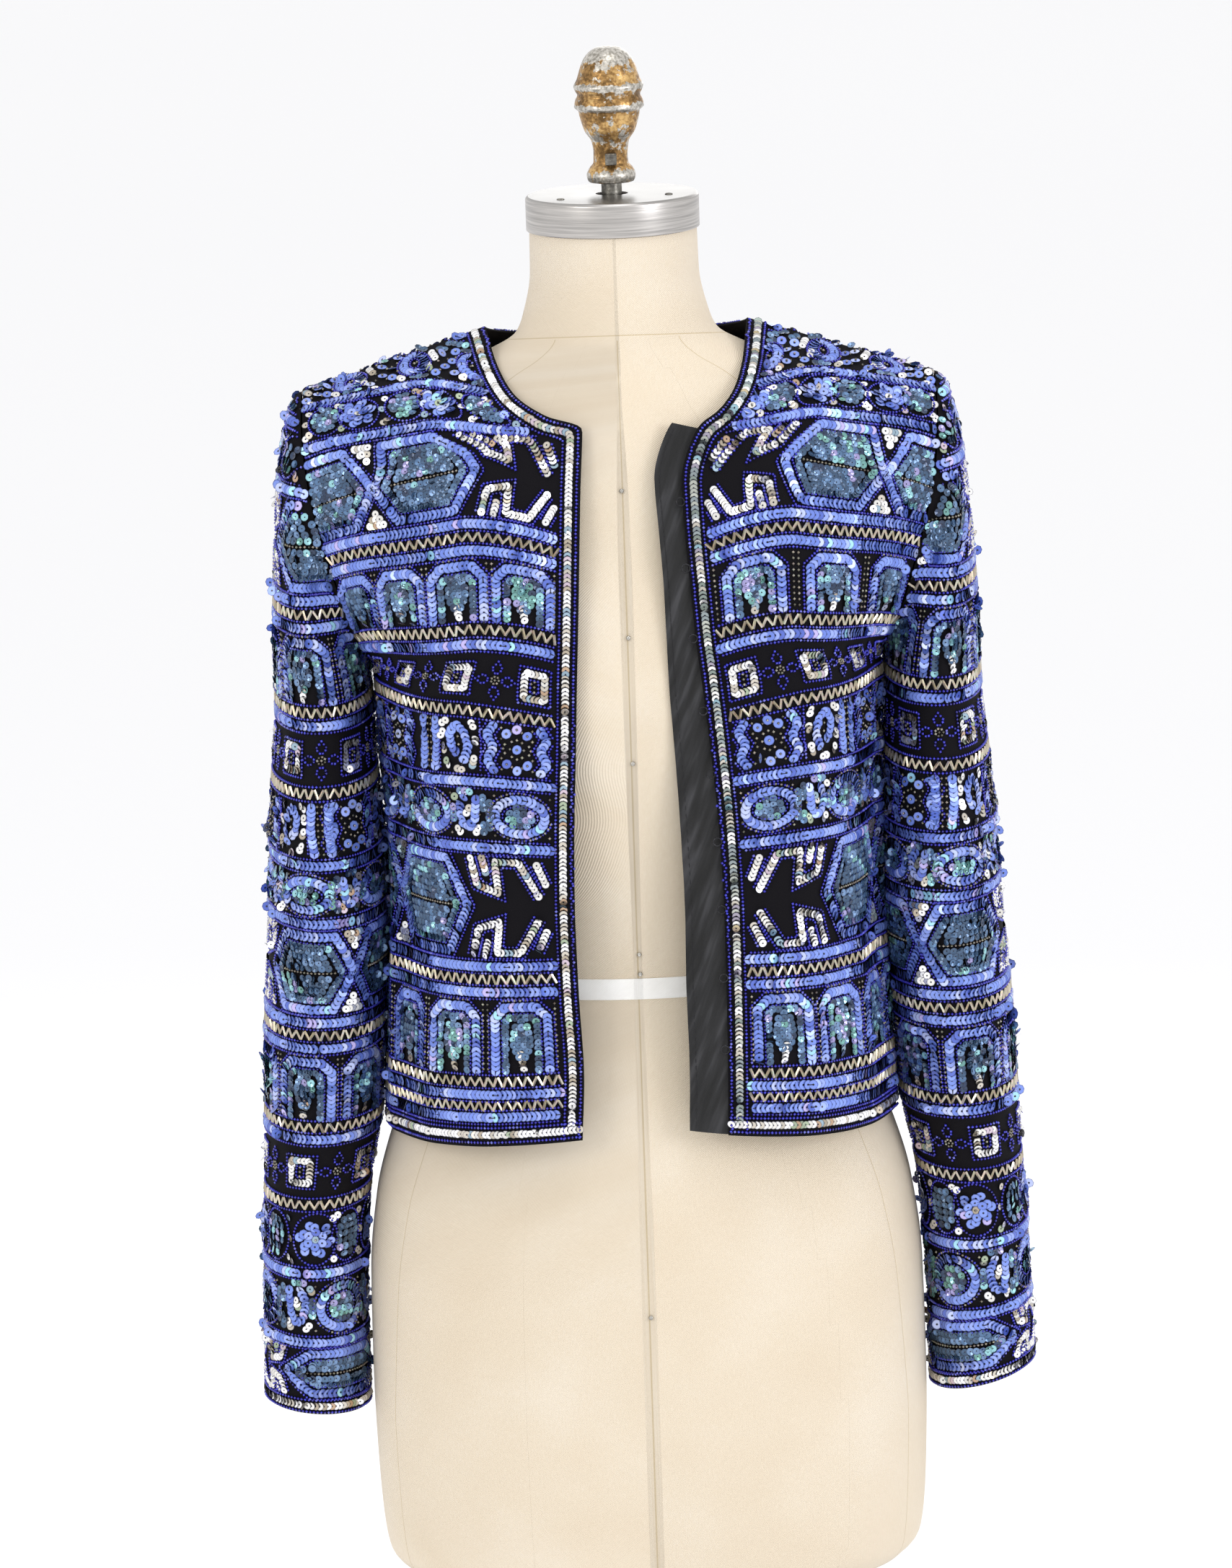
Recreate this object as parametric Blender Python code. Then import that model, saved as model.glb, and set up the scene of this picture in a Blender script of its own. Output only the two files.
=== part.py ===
"""A sequin jacket on a limbless dress form with a turned finial, on a plain stand.

The model is in metres, +Z up, and stands on the floor at z = 0. The jacket's front faces -Y,
and the wearer's left is at +X. All tables and sizes are in millimetres. A height called
"down" is measured downwards from the top of the form's neck cap.
"""

import math

import bmesh
import bpy
import numpy as np

MM = 0.001

# Heights above the floor
FORM_FLOOR_GAP = 420.0
FORM_HEIGHT = 834.0
CAP_TOP = FORM_FLOOR_GAP + FORM_HEIGHT

# Cloth and its seams
WALL = 1.8
SEAM = 0.3
SLEEVE_SEAM = 0.9
LAP_WALL = 1.5
LAP_GAP = 0.6

# Faces of the grids
FRONT_COLUMNS = 10
BACK_COLUMNS = 20
LAP_COLUMNS = 4
ROW_PARTS = 2
SLEEVE_SIDES = 22
SLEEVE_HEAD_ROWS = 9
FORM_SIDES = 28
TURNED_SIDES = 28

# Jacket fronts, from the hem up to the shoulder seam. The edge is the front edge and then the
# neckline, the side is the side seam and then the armhole. Turn is the part of a quarter
# turn, in degrees, that a row makes from the edge to the side.
FRONT_NAMES = ("down", "edge_y", "right_edge", "left_edge",
               "side_x", "side_y", "side_down", "turn", "bust")
FRONT_ROWS = (
    (540, -116, 35.7, 49.5, 153.5, 5, 555, 90, 6),
    (497, -115, 33.5, 50.5, 150.5, 5, 508, 90, 6),
    (453, -113, 35.0, 51.0, 147.0, 5, 460, 90, 7),
    (409, -112, 35.6, 51.0, 144.5, 5, 413, 90, 9),
    (360, -113, 34.5, 49.5, 145.5, 5, 364, 90, 12),
    (312, -115, 32.0, 46.0, 148.0, 5, 320, 90, 15),
    (270, -117, 30.0, 42.0, 150.0, 5, 275, 88, 16),
    (243, -117, 28.5, 39.0, 154.5, -26, 262, 76, 15),
    (214, -115, 27.0, 37.0, 162.0, -43, 240, 66, 12),
    (185, -110, 25.6, 35.0, 169.5, -51, 213, 60, 8),
    (155, -101, 24.0, 34.0, 176.5, -51, 187, 56, 5),
    (125, -88, 22.0, 45.0, 181.5, -46, 164, 52, 2),
    (117, -80, 43.0, 57.0, 184.0, -38, 146, 48, 0),
    (107, -65, 60.0, 66.5, 185.3, -27, 131, 44, 0),
    (94, -40, 69.5, 72.5, 185.5, -13, 119, 34, 0),
    (76, 2, 77.0, 77.0, 185.0, 2, 111, 2, 0),
)
UNDERARM_ROW = 6
NECK_CORNER_ROW = 11

# Jacket back, from the hem up. Collar is how far a row has become the back neckline with a
# straight shoulder seam on each side.
BACK_NAMES = ("down", "centre_y", "side_x", "side_y", "side_down", "turn", "collar")
BACK_ROWS = (
    (552, 100, 153.5, 5, 555, 90, 0),
    (506, 97, 150.5, 5, 508, 90, 0),
    (458, 92, 147.0, 5, 460, 90, 0),
    (411, 90, 144.5, 5, 413, 90, 0),
    (360, 92, 145.5, 5, 364, 90, 0),
    (312, 97, 148.0, 5, 320, 90, 0),
    (268, 101, 150.0, 5, 275, 88, 0),
    (241, 102, 155.5, 36, 262, 78, 0),
    (212, 102, 163.0, 53, 238, 70, 0),
    (182, 99, 171.0, 60, 209, 64, 0),
    (154, 93, 178.0, 57, 180, 60, 0.02),
    (128, 82, 183.0, 45, 152, 58, 0.12),
    (108, 70, 185.3, 26, 127, 60, 0.45),
    (90, 57, 185.0, 2, 111, 60, 1),
)
BACK_NECK_DOWN = 90.0
BACK_NECK_Y = 57.0
NECK_SHARE = 0.4

# The underlap's outer edge, from the middle, at the rows of the left front
LAP_EDGE = (26.5, 27.5, 27.0, 27.5, 26.5, 24.5, 22.5, 22.0, 21.5, 20.0, 18.5, 30.0)
LAP_UNDER = 8.0

# Sleeves below the armhole: level ovals down to the cuff, whose outer side is lifted
SLEEVE_NAMES = ("down", "inner_x", "outer_x", "front_y", "back_y")
SLEEVE_ROWS = (
    (300, 152.6, 208.5, -60, 68),
    (340, 151.6, 212.5, -61, 68),
    (380, 149.2, 215.0, -60, 67),
    (418, 148.4, 217.5, -57, 66),
    (458, 149.6, 221.0, -54, 65),
    (500, 153.0, 224.0, -51, 64),
    (545, 156.6, 226.0, -47, 62),
    (598, 166.5, 228.5, -41, 58),
    (650, 170.6, 231.0, -37, 54),
    (700, 171.6, 233.0, -31, 48),
    (734, 171.6, 234.0, -28, 45),
)
CUFF_LIFT = {-1: 6.0, 1: 15.0}
LIFT_START = 600.0
HEAD_OUTWARD = 0.43
HEAD_TOP_OUTWARD = 0.26
HEAD_DOWNWARD = 1.05

# Largest soft folds, each a long low ridge in the cloth. On a panel, place is the share of
# the way from the front edge or centre back to the side. On a sleeve it is the angle in
# degrees from the outer side towards the front.
FOLD_NAMES = ("place", "down", "width", "length", "height")
RIGHT_FRONT_FOLDS = (
    (0.80, 450, 0.055, 95, 4.0),
    (0.55, 500, 0.060, 60, 1.6),
)
LEFT_FRONT_FOLDS = (
    (0.88, 400, 0.050, 110, 4.2),
    (0.62, 470, 0.050, 60, 2.6),
)
BACK_FOLDS = (
    (0.46, 470, 0.070, 80, 3.4),
    (-0.52, 455, 0.070, 90, 3.8),
    (0.05, 250, 0.080, 60, 2.0),
)
SLEEVE_FOLDS = (
    (50, 405, 42, 11, 3.0),
    (20, 372, 34, 9, 2.2),
    (78, 436, 36, 9, 2.4),
    (300, 420, 40, 12, 3.2),
    (250, 385, 36, 10, 2.4),
    (350, 620, 46, 12, 1.8),
)

# Dress form torso, from the neck down: half width, reach to the front and to the back, and
# the exponent of the rounded oval, which is 2 for an ellipse and more for a squarer section
FORM_NAMES = ("down", "half_width", "front", "back", "squareness")
FORM_ROWS = (
    (20.3, 49.0, 49.0, 49.0, 2.0),
    (45, 49.5, 49.5, 49.5, 2.0),
    (66, 53.5, 52.0, 51.5, 2.0),
    (80, 59.0, 54.0, 51.5, 2.0),
    (90, 75.0, 57.0, 54.2, 2.0),
    (100, 106.0, 63.0, 58.6, 1.8),
    (113, 136.0, 74.0, 66.6, 1.7),
    (132, 158.0, 85.0, 78.0, 1.85),
    (158, 165.0, 93.0, 87.5, 2.0),
    (195, 162.0, 101.0, 93.0, 2.1),
    (235, 152.0, 109.0, 95.0, 2.15),
    (275, 145.0, 111.0, 93.0, 2.15),
    (315, 137.0, 106.0, 88.0, 2.15),
    (362, 123.0, 95.0, 79.0, 2.15),
    (410, 115.5, 87.0, 72.0, 2.1),
    (458, 114.0, 84.0, 70.0, 2.1),
    (500, 129.0, 89.0, 80.0, 2.1),
    (548, 146.5, 98.0, 95.0, 2.1),
    (600, 161.5, 105.0, 110.0, 2.15),
    (650, 167.0, 108.0, 120.0, 2.15),
    (720, 168.0, 108.0, 124.0, 2.15),
    (790, 166.0, 105.0, 122.0, 2.15),
    (822, 162.0, 101.0, 118.0, 2.15),
    (834, 152.0, 91.0, 108.0, 2.15),
)

# Turned pieces: radius and height of each point of the profile, heights from the cap's top
CAP_PROFILE = (
    (9.5, -20.0), (50.75, -20.0), (50.75, -1.4), (49.4, 0.0), (9.5, 0.0),
)
STEM_PROFILE = ((0, -20.0), (6.0, -20.0), (6.0, 6.7), (0, 6.7))
FINIAL_PROFILE = (
    (0, 7.0), (12.6, 7.0), (14.35, 11.0), (12.8, 15.0), (10.2, 18.5), (10.0, 24.0),
    (10.9, 30.5), (14.8, 37.0), (17.5, 46.0), (17.9, 48.4), (20.35, 51.0), (19.6, 55.0),
    (18.35, 57.8), (19.6, 60.4), (20.35, 63.0), (18.4, 67.0), (16.5, 73.0), (14.2, 78.5),
    (10.4, 83.0), (5.6, 85.4), (0, 86.0),
)
SET_SCREW_SIZE = 6.7
SET_SCREW_LENGTH = 6.0
SET_SCREW_HEIGHT = 21.5
SET_SCREW_SEAT = 10.35

# Stand
POLE_RADIUS = 14.0
BASE_RADIUS = 200.0
SOCKET_FLOOR = 16.0
SOCKET_RADIUS = POLE_RADIUS + SEAM
HUB_RADIUS = 27.0
HUB_TOP = 62.0
BASE_PROFILE = (
    (0, 0.0), (BASE_RADIUS - 3, 0.0), (BASE_RADIUS, 3.0), (BASE_RADIUS, 8.0),
    (BASE_RADIUS - 4, 11.0), (70.0, 19.0), (HUB_RADIUS + 4, 23.0), (HUB_RADIUS, 28.0),
    (HUB_RADIUS, HUB_TOP - 2), (HUB_RADIUS - 2, HUB_TOP), (SOCKET_RADIUS, HUB_TOP),
    (SOCKET_RADIUS, SOCKET_FLOOR), (0, SOCKET_FLOOR),
)


def smooth(values, place):
    """Value of a column at fractional row numbers: a cubic through the rows that never
    overshoots, because its slope at a row is the harmonic mean of the two steps beside it."""
    values = np.asarray(values, float)
    steps = np.diff(values)
    product = steps[:-1] * steps[1:]
    total = np.where(product > 0, steps[:-1] + steps[1:], 1.0)
    slopes = np.zeros(len(values))
    slopes[1:-1] = np.where(product > 0, 2 * product / total, 0.0)
    slopes[0] = steps[0]
    slopes[-1] = steps[-1]
    place = np.clip(np.asarray(place, float), 0, len(values) - 1)
    row = np.minimum(place.astype(int), len(values) - 2)
    t = place - row
    rise = t * t * (3 - 2 * t)
    return (values[row] * (1 - rise) + values[row + 1] * rise
            + slopes[row] * t * (1 - t) ** 2 - slopes[row + 1] * t * t * (1 - t))


def read_rows(names, rows, place):
    """A dictionary with every named column of a table at the given fractional rows."""
    return {name: smooth([row[i] for row in rows], place) for i, name in enumerate(names)}


def row_places(count, parts=ROW_PARTS):
    """Fractional row numbers from the first row of a table to the last one."""
    return np.linspace(0, count - 1, (count - 1) * parts + 1)


def ridge(folds, place, down):
    """Height of the soft folds: a sum of bell curves, long down the cloth or across it."""
    height = np.zeros(np.broadcast(place, down).shape)
    for fold in folds:
        f = dict(zip(FOLD_NAMES, fold))
        across = (place - f["place"]) / f["width"]
        along = (down - f["down"]) / f["length"]
        height = height + f["height"] * np.exp(-across ** 2 - along ** 2)
    return height


def grid_normals(points, closed=False):
    """Unit normals of a grid of points, rows first, from the steps along and across it."""
    if closed:
        around = np.roll(points, -1, axis=1) - np.roll(points, 1, axis=1)
    else:
        around = np.gradient(points, axis=1)
    normals = np.cross(around, np.gradient(points, axis=0))
    return normals / np.linalg.norm(normals, axis=2, keepdims=True)


def front_points(side, place, share):
    """Outer face of a front. A row runs from the front edge or neckline to the side seam or
    armhole on an arc that turns from facing forward to facing the side; the bust adds a
    soft fullness in its middle. Side is -1 for the right front and +1 for the left one."""
    row = read_rows(FRONT_NAMES, FRONT_ROWS, place)
    edge_x = row["left_edge"] if side > 0 else row["right_edge"]
    turn = np.radians(row["turn"])
    angle = share * turn
    x = edge_x + (row["side_x"] - edge_x) * np.sin(angle) / np.sin(turn)
    bend = (np.cos(angle) - np.cos(turn)) / (1 - np.cos(turn))
    y = row["side_y"] + (row["edge_y"] - row["side_y"]) * bend
    y = y - row["bust"] * np.sin(math.pi * np.clip(share, 0, 1)) ** 2
    down = row["down"] + (row["side_down"] - row["down"]) * share
    return np.stack([side * x, y, CAP_TOP - down], axis=-1), down


def back_points(place, share):
    """Outer face of the back. Share runs from -1 at the right side to +1 at the left. A row
    is an arc as on the fronts; the top rows become the neckline and shoulder seams."""
    row = read_rows(BACK_NAMES, BACK_ROWS, place)
    part = np.abs(share)
    turn = np.radians(row["turn"])
    angle = part * turn
    x = row["side_x"] * np.sin(angle) / np.sin(turn)
    bend = (np.cos(angle) - np.cos(turn)) / (1 - np.cos(turn))
    y = row["side_y"] + (row["centre_y"] - row["side_y"]) * bend
    down = row["down"] + (row["side_down"] - row["down"]) * part

    shoulder = dict(zip(FRONT_NAMES, FRONT_ROWS[-1]))
    neck = np.clip(part / NECK_SHARE, 0, 1) * math.pi / 2
    seam = np.clip((part - NECK_SHARE) / (1 - NECK_SHARE), 0, 1)
    neck_x = shoulder["left_edge"]
    top_x = neck_x * np.sin(neck) + (shoulder["side_x"] - neck_x) * seam
    top_y = (shoulder["edge_y"] + (BACK_NECK_Y - shoulder["edge_y"]) * np.cos(neck)
             + (shoulder["side_y"] - shoulder["edge_y"]) * seam)
    top_down = (shoulder["down"] + (BACK_NECK_DOWN - shoulder["down"]) * np.cos(neck)
                + (shoulder["side_down"] - shoulder["down"]) * seam)
    collar = row["collar"]
    x = x + (top_x - x) * collar
    y = y + (top_y - y) * collar
    down = down + (top_down - down) * collar
    return np.stack([np.sign(share) * x, y, CAP_TOP - down], axis=-1), down


def armhole_loop(side, angle):
    """Points around an armhole. The angle is 0 at the shoulder tip, 90 degrees halfway down
    the front, 180 at the underarm and 270 halfway up the back."""
    down_front = np.clip(angle / math.pi, 0, 1)
    up_back = np.clip(angle / math.pi - 1, 0, 1)
    front_top = len(FRONT_ROWS) - 1
    back_top = len(BACK_ROWS) - 1
    front_place = front_top + (UNDERARM_ROW - front_top) * down_front
    back_place = UNDERARM_ROW + (back_top - UNDERARM_ROW) * up_back
    front, _ = front_points(side, front_place, np.ones_like(angle))
    back, _ = back_points(back_place, side * np.ones_like(angle))
    return np.where((angle <= math.pi)[..., None], front, back)


def sleeve_points(side):
    """Outer face of a sleeve: the armhole loop, a full head that leaves it outwards and turns
    downwards on Hermite curves, then level ovals down to the cuff."""
    angle = np.arange(SLEEVE_SIDES) * 2 * math.pi / SLEEVE_SIDES
    row = read_rows(SLEEVE_NAMES, SLEEVE_ROWS, row_places(len(SLEEVE_ROWS)))
    row = {name: values[:, None] for name, values in row.items()}
    middle = (row["outer_x"] + row["inner_x"]) / 2
    half = (row["outer_x"] - row["inner_x"]) / 2
    y_middle = (row["front_y"] + row["back_y"]) / 2
    y_half = (row["back_y"] - row["front_y"]) / 2
    x = middle + half * np.cos(angle)
    y = y_middle - y_half * np.sin(angle)
    lift = np.clip((row["down"] - LIFT_START) / (row["down"][-1] - LIFT_START), 0, 1) ** 2
    down = row["down"] - CUFF_LIFT[side] * lift * (1 + np.cos(angle)) / 2
    ovals = np.stack([side * x, y, CAP_TOP - down], axis=-1)

    start = armhole_loop(side, angle)
    start[:, 0] += side * SLEEVE_SEAM
    end = ovals[0]
    reach = np.linalg.norm(end - start, axis=1, keepdims=True)
    top = np.clip(np.cos(angle), 0, 1)[:, None]
    outward = HEAD_OUTWARD + (HEAD_TOP_OUTWARD - HEAD_OUTWARD) * top
    out = reach * outward * np.array([side, 0.0, 0.0])
    fall = reach * HEAD_DOWNWARD * np.array([0.0, 0.0, -1.0])
    t = np.linspace(0, 1, SLEEVE_HEAD_ROWS + 1)[:-1, None, None]
    rise = t * t * (3 - 2 * t)
    head = start * (1 - rise) + end * rise + out * t * (1 - t) ** 2 - fall * t * t * (1 - t)
    points = np.concatenate([head, ovals])
    degrees = np.degrees(angle)[None, :]
    down = CAP_TOP - points[:, :, 2]
    return points + grid_normals(points, True) * side * ridge(
        SLEEVE_FOLDS, degrees, down)[..., None]


def make_material(name, hex_colour, roughness, metallic=0.0):
    """A Principled material with one sRGB colour."""
    material = bpy.data.materials.new(name)
    material.use_nodes = True
    shader = material.node_tree.nodes["Principled BSDF"]
    srgb = [int(hex_colour[i:i + 2], 16) / 255 for i in (0, 2, 4)]
    linear = [((c + 0.055) / 1.055) ** 2.4 if c > 0.04 else c / 12.92 for c in srgb]
    shader.inputs["Base Color"].default_value = (*linear, 1.0)
    shader.inputs["Roughness"].default_value = roughness
    shader.inputs["Metallic"].default_value = metallic
    return material


def add_piece(name, points, faces, material, smooth_angle=40):
    """A named object from points in millimetres, its faces turned outwards."""
    mesh = bpy.data.meshes.new(name)
    mesh.from_pydata((np.asarray(points) * MM).tolist(), [], faces)
    work = bmesh.new()
    work.from_mesh(mesh)
    bmesh.ops.recalc_face_normals(work, faces=work.faces)
    work.to_mesh(mesh)
    work.free()
    mesh.shade_smooth()
    mesh.set_sharp_from_angle(angle=math.radians(smooth_angle))
    mesh.materials.append(material)
    piece = bpy.data.objects.new(name, mesh)
    bpy.context.scene.collection.objects.link(piece)
    return piece


def grid_faces(rows, columns, closed, start=0):
    """Quads of a grid whose points are numbered row by row."""
    last = columns if closed else columns - 1
    return [(start + r * columns + c,
             start + r * columns + (c + 1) % columns,
             start + (r + 1) * columns + (c + 1) % columns,
             start + (r + 1) * columns + c)
            for r in range(rows - 1) for c in range(last)]


def add_wall(name, outer, inner, material, closed=False):
    """A closed wall of cloth between two grids of points, with its edges filled in."""
    rows, columns = outer.shape[:2]
    count = rows * columns
    faces = grid_faces(rows, columns, closed)
    faces += [tuple(reversed(face)) for face in grid_faces(rows, columns, closed, count)]
    rims = []
    last = columns if closed else columns - 1
    for c in range(last):
        n = (c + 1) % columns
        rims.append((n, c))
        rims.append(((rows - 1) * columns + c, (rows - 1) * columns + n))
    if not closed:
        for r in range(rows - 1):
            rims.append((r * columns, (r + 1) * columns))
            rims.append(((r + 2) * columns - 1, (r + 1) * columns - 1))
    faces += [(a, b, b + count, a + count) for a, b in rims]
    points = np.concatenate([outer.reshape(-1, 3), inner.reshape(-1, 3)])
    return add_piece(name, points, faces, material)


def add_turned(name, profile, lift, material, sides=TURNED_SIDES, closed=False):
    """A piece turned about the Z axis from its profile of (radius, height) points. A closed
    profile goes round a hole; an open one begins and ends on the axis."""
    angles = np.arange(sides) * 2 * math.pi / sides
    points = []
    rings = []
    for radius, height in profile:
        first = len(points)
        if radius == 0:
            points.append((0.0, 0.0, height + lift))
            rings.append([first] * sides)
        else:
            points += [(radius * math.cos(a), radius * math.sin(a), height + lift) for a in angles]
            rings.append(list(range(first, first + sides)))
    pairs = list(zip(rings, rings[1:]))
    if closed:
        pairs.append((rings[-1], rings[0]))
    faces = []
    for low, high in pairs:
        for i in range(sides):
            j = (i + 1) % sides
            face = dict.fromkeys((low[i], low[j], high[j], high[i]))
            faces.append(tuple(face))
    return add_piece(name, points, faces, material)


def add_front(name, side, folds, material):
    """One front: its outer face with folds, and the inner face a wall's thickness inside."""
    place = row_places(len(FRONT_ROWS))[:, None]
    share = np.linspace(0, 1, FRONT_COLUMNS + 1)[None, :]
    points, down = front_points(side, place, share)
    outer = points + side * grid_normals(points) * ridge(folds, share, down)[..., None]
    normals = side * grid_normals(outer)
    seam = slice(0, UNDERARM_ROW * ROW_PARTS + 1)
    normals[-1, :, 1] = 0
    normals[seam, -1, 1] = 0
    normals /= np.linalg.norm(normals, axis=2, keepdims=True)
    outer[-1, :, 1] -= SEAM / 2
    outer[seam, -1, 1] -= SEAM / 2
    return add_wall(name, outer, outer - WALL * normals, material)


def add_back(material):
    """The back: its outer face with folds, and the inner face a wall's thickness inside."""
    place = row_places(len(BACK_ROWS))[:, None]
    share = np.linspace(-1, 1, BACK_COLUMNS + 1)[None, :]
    points, down = back_points(place, share)
    outer = points - grid_normals(points) * ridge(BACK_FOLDS, share, down)[..., None]
    normals = -grid_normals(outer)
    shoulder = np.abs(share[0]) > NECK_SHARE - SEAM / BACK_COLUMNS
    seam = slice(0, UNDERARM_ROW * ROW_PARTS + 1)
    normals[-1, shoulder, 1] = 0
    normals[seam, 0, 1] = 0
    normals[seam, -1, 1] = 0
    normals /= np.linalg.norm(normals, axis=2, keepdims=True)
    outer[-1, :, 1] += SEAM / 2
    outer[seam, 0, 1] += SEAM / 2
    outer[seam, -1, 1] += SEAM / 2
    return add_wall("back", outer, outer - WALL * normals, material)


def add_underlap(material):
    """The satin strip under the left front's edge: the front's own surface, carried on past
    its edge towards the middle and moved in by the front's wall and a small gap."""
    place = row_places(NECK_CORNER_ROW + 1)
    row = read_rows(FRONT_NAMES, FRONT_ROWS, place)
    lap_x = smooth(LAP_EDGE, place)
    turn = np.radians(row["turn"])
    width = row["side_x"] - row["left_edge"]
    across = np.linspace(0, 1, LAP_COLUMNS + 1)[None, :]
    target = lap_x[:, None] + (row["left_edge"] + LAP_UNDER - lap_x)[:, None] * across
    sine = (target - row["left_edge"][:, None]) / width[:, None] * np.sin(turn)[:, None]
    share = np.arcsin(sine) / turn[:, None]
    points, _ = front_points(1, place[:, None], share)
    normals = grid_normals(points)
    outer = points - normals * (WALL + LAP_GAP)
    return add_wall("underlap", outer, outer - normals * LAP_WALL, material)


def add_sleeve(name, side, material):
    """One sleeve: a tube of cloth, open at the armhole and at the cuff."""
    outer = sleeve_points(side)
    normals = side * grid_normals(outer, True)
    return add_wall(name, outer, outer - WALL * normals, material, closed=True)


def add_form(material):
    """The torso: level sections, each half a rounded oval to the front and half to the back,
    closed on top under the neck cap and below at the hips."""
    row = read_rows(FORM_NAMES, FORM_ROWS, row_places(len(FORM_ROWS), 1))
    angle = np.arange(FORM_SIDES) * 2 * math.pi / FORM_SIDES
    power = 2 / row["squareness"][:, None]
    x = np.sign(np.sin(angle)) * np.abs(np.sin(angle)) ** power
    y = -np.sign(np.cos(angle)) * np.abs(np.cos(angle)) ** power
    depth = np.where(y < 0, row["front"][:, None], row["back"][:, None])
    points = np.stack([row["half_width"][:, None] * x, depth * y,
                       CAP_TOP - row["down"][:, None] + 0 * depth], axis=-1)
    rows = len(points)
    faces = grid_faces(rows, FORM_SIDES, True)
    faces.append(tuple(range(FORM_SIDES)))
    faces.append(tuple(range((rows - 1) * FORM_SIDES, rows * FORM_SIDES)))
    return add_piece("form_torso", points.reshape(-1, 3), faces, material)


def add_set_screw(material):
    """The square-headed screw in the finial's neck, on its front."""
    half = SET_SCREW_SIZE / 2
    near = -SET_SCREW_SEAT
    far = near - SET_SCREW_LENGTH
    low = CAP_TOP + SET_SCREW_HEIGHT - half
    high = low + SET_SCREW_SIZE
    points = [(x, y, z) for z in (low, high) for y in (far, near) for x in (-half, half)]
    faces = [(0, 1, 3, 2), (4, 5, 7, 6), (0, 1, 5, 4), (2, 3, 7, 6), (0, 2, 6, 4), (1, 3, 7, 5)]
    piece = add_piece("finial_set_screw", points, faces, material)
    bevel = piece.modifiers.new("worn edges", "BEVEL")
    bevel.width = 0.5 * MM
    bevel.segments = 1
    return piece


def build():
    """Make every piece of the jacket, the form and its stand."""
    for old in list(bpy.data.objects):
        bpy.data.objects.remove(old, do_unlink=True)

    crepe = make_material("beaded_crepe", "2A2A3C", 0.6)
    satin = make_material("black_satin", "1F1F22", 0.35)
    linen = make_material("form_linen", "E9DAC0", 0.85)
    cap_metal = make_material("cap_aluminium", "B4B2AC", 0.35, 1.0)
    finial_metal = make_material("finial_paint", "B07A28", 0.4, 0.8)
    steel = make_material("screw_steel", "8A8883", 0.35, 1.0)
    stand_metal = make_material("stand_metal", "2B2B2D", 0.5, 0.6)

    add_front("front_right", -1, RIGHT_FRONT_FOLDS, crepe)
    add_front("front_left", 1, LEFT_FRONT_FOLDS, crepe)
    add_back(crepe)
    add_underlap(satin)
    add_sleeve("sleeve_right", -1, crepe)
    add_sleeve("sleeve_left", 1, crepe)

    add_form(linen)
    add_turned("neck_cap", CAP_PROFILE, CAP_TOP, cap_metal, closed=True)
    add_turned("finial_stem", STEM_PROFILE, CAP_TOP, steel, sides=16)
    add_turned("finial", FINIAL_PROFILE, CAP_TOP, finial_metal, sides=20)
    add_set_screw(steel)

    pole = ((0, SOCKET_FLOOR + SEAM), (POLE_RADIUS, SOCKET_FLOOR + SEAM),
            (POLE_RADIUS, FORM_FLOOR_GAP - SEAM), (0, FORM_FLOOR_GAP - SEAM))
    add_turned("stand_pole", pole, 0.0, stand_metal, sides=TURNED_SIDES)
    add_turned("stand_base", BASE_PROFILE, 0.0, stand_metal, sides=TURNED_SIDES)


build()
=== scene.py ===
# %% [markdown]
# # A sequin jacket on a dress form
#
# The jacket is five sewn pieces of black crepe and one strip of black satin. The crepe is
# covered with bands of sequins, seed beads and bugle beads. The jacket hangs on a
# linen-covered torso. This notebook rebuilds it in the order in which it could be made: the
# cloth first, then the body under it, then every bead row. All tables are in millimetres.
# The wearer's left is at +X and the front faces -Y.

# %% Load the frame
import math

import bpy
import numpy as np
from mathutils import Matrix, Vector


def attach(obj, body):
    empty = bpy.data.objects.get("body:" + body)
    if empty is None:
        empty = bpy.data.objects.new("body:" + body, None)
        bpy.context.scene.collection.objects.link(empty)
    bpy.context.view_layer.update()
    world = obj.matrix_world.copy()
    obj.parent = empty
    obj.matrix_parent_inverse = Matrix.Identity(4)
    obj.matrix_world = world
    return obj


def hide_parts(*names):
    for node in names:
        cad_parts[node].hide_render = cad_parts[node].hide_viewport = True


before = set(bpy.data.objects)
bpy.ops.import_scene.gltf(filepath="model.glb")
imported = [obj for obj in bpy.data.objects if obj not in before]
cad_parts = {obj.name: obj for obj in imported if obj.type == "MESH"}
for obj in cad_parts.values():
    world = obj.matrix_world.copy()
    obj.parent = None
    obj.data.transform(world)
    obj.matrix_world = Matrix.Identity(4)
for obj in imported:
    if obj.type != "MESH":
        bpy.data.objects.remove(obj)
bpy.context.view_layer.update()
rng = np.random.default_rng(17)
MM = 0.001

# %% [markdown]
# ## The camera and the studio
#
# The photograph looks down a little, from head height and nearly four metres away, with a
# long lens, so that the jacket keeps its true proportions. The object's top leans slightly
# to the left, which is a small roll of the camera.

# %% Camera
CAP_TOP = 1254.0
AIM_DOWN = 346.6
TARGET = Vector((-0.0091, -0.03, (CAP_TOP - AIM_DOWN) * MM))
DISTANCE = 3.7
LOOK_DOWN = math.radians(12.58)
LOOK_ASIDE = 0.003
LEAN = math.radians(1.9)
LENS, SENSOR = 143.7, 36
FAR_END = 50

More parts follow.
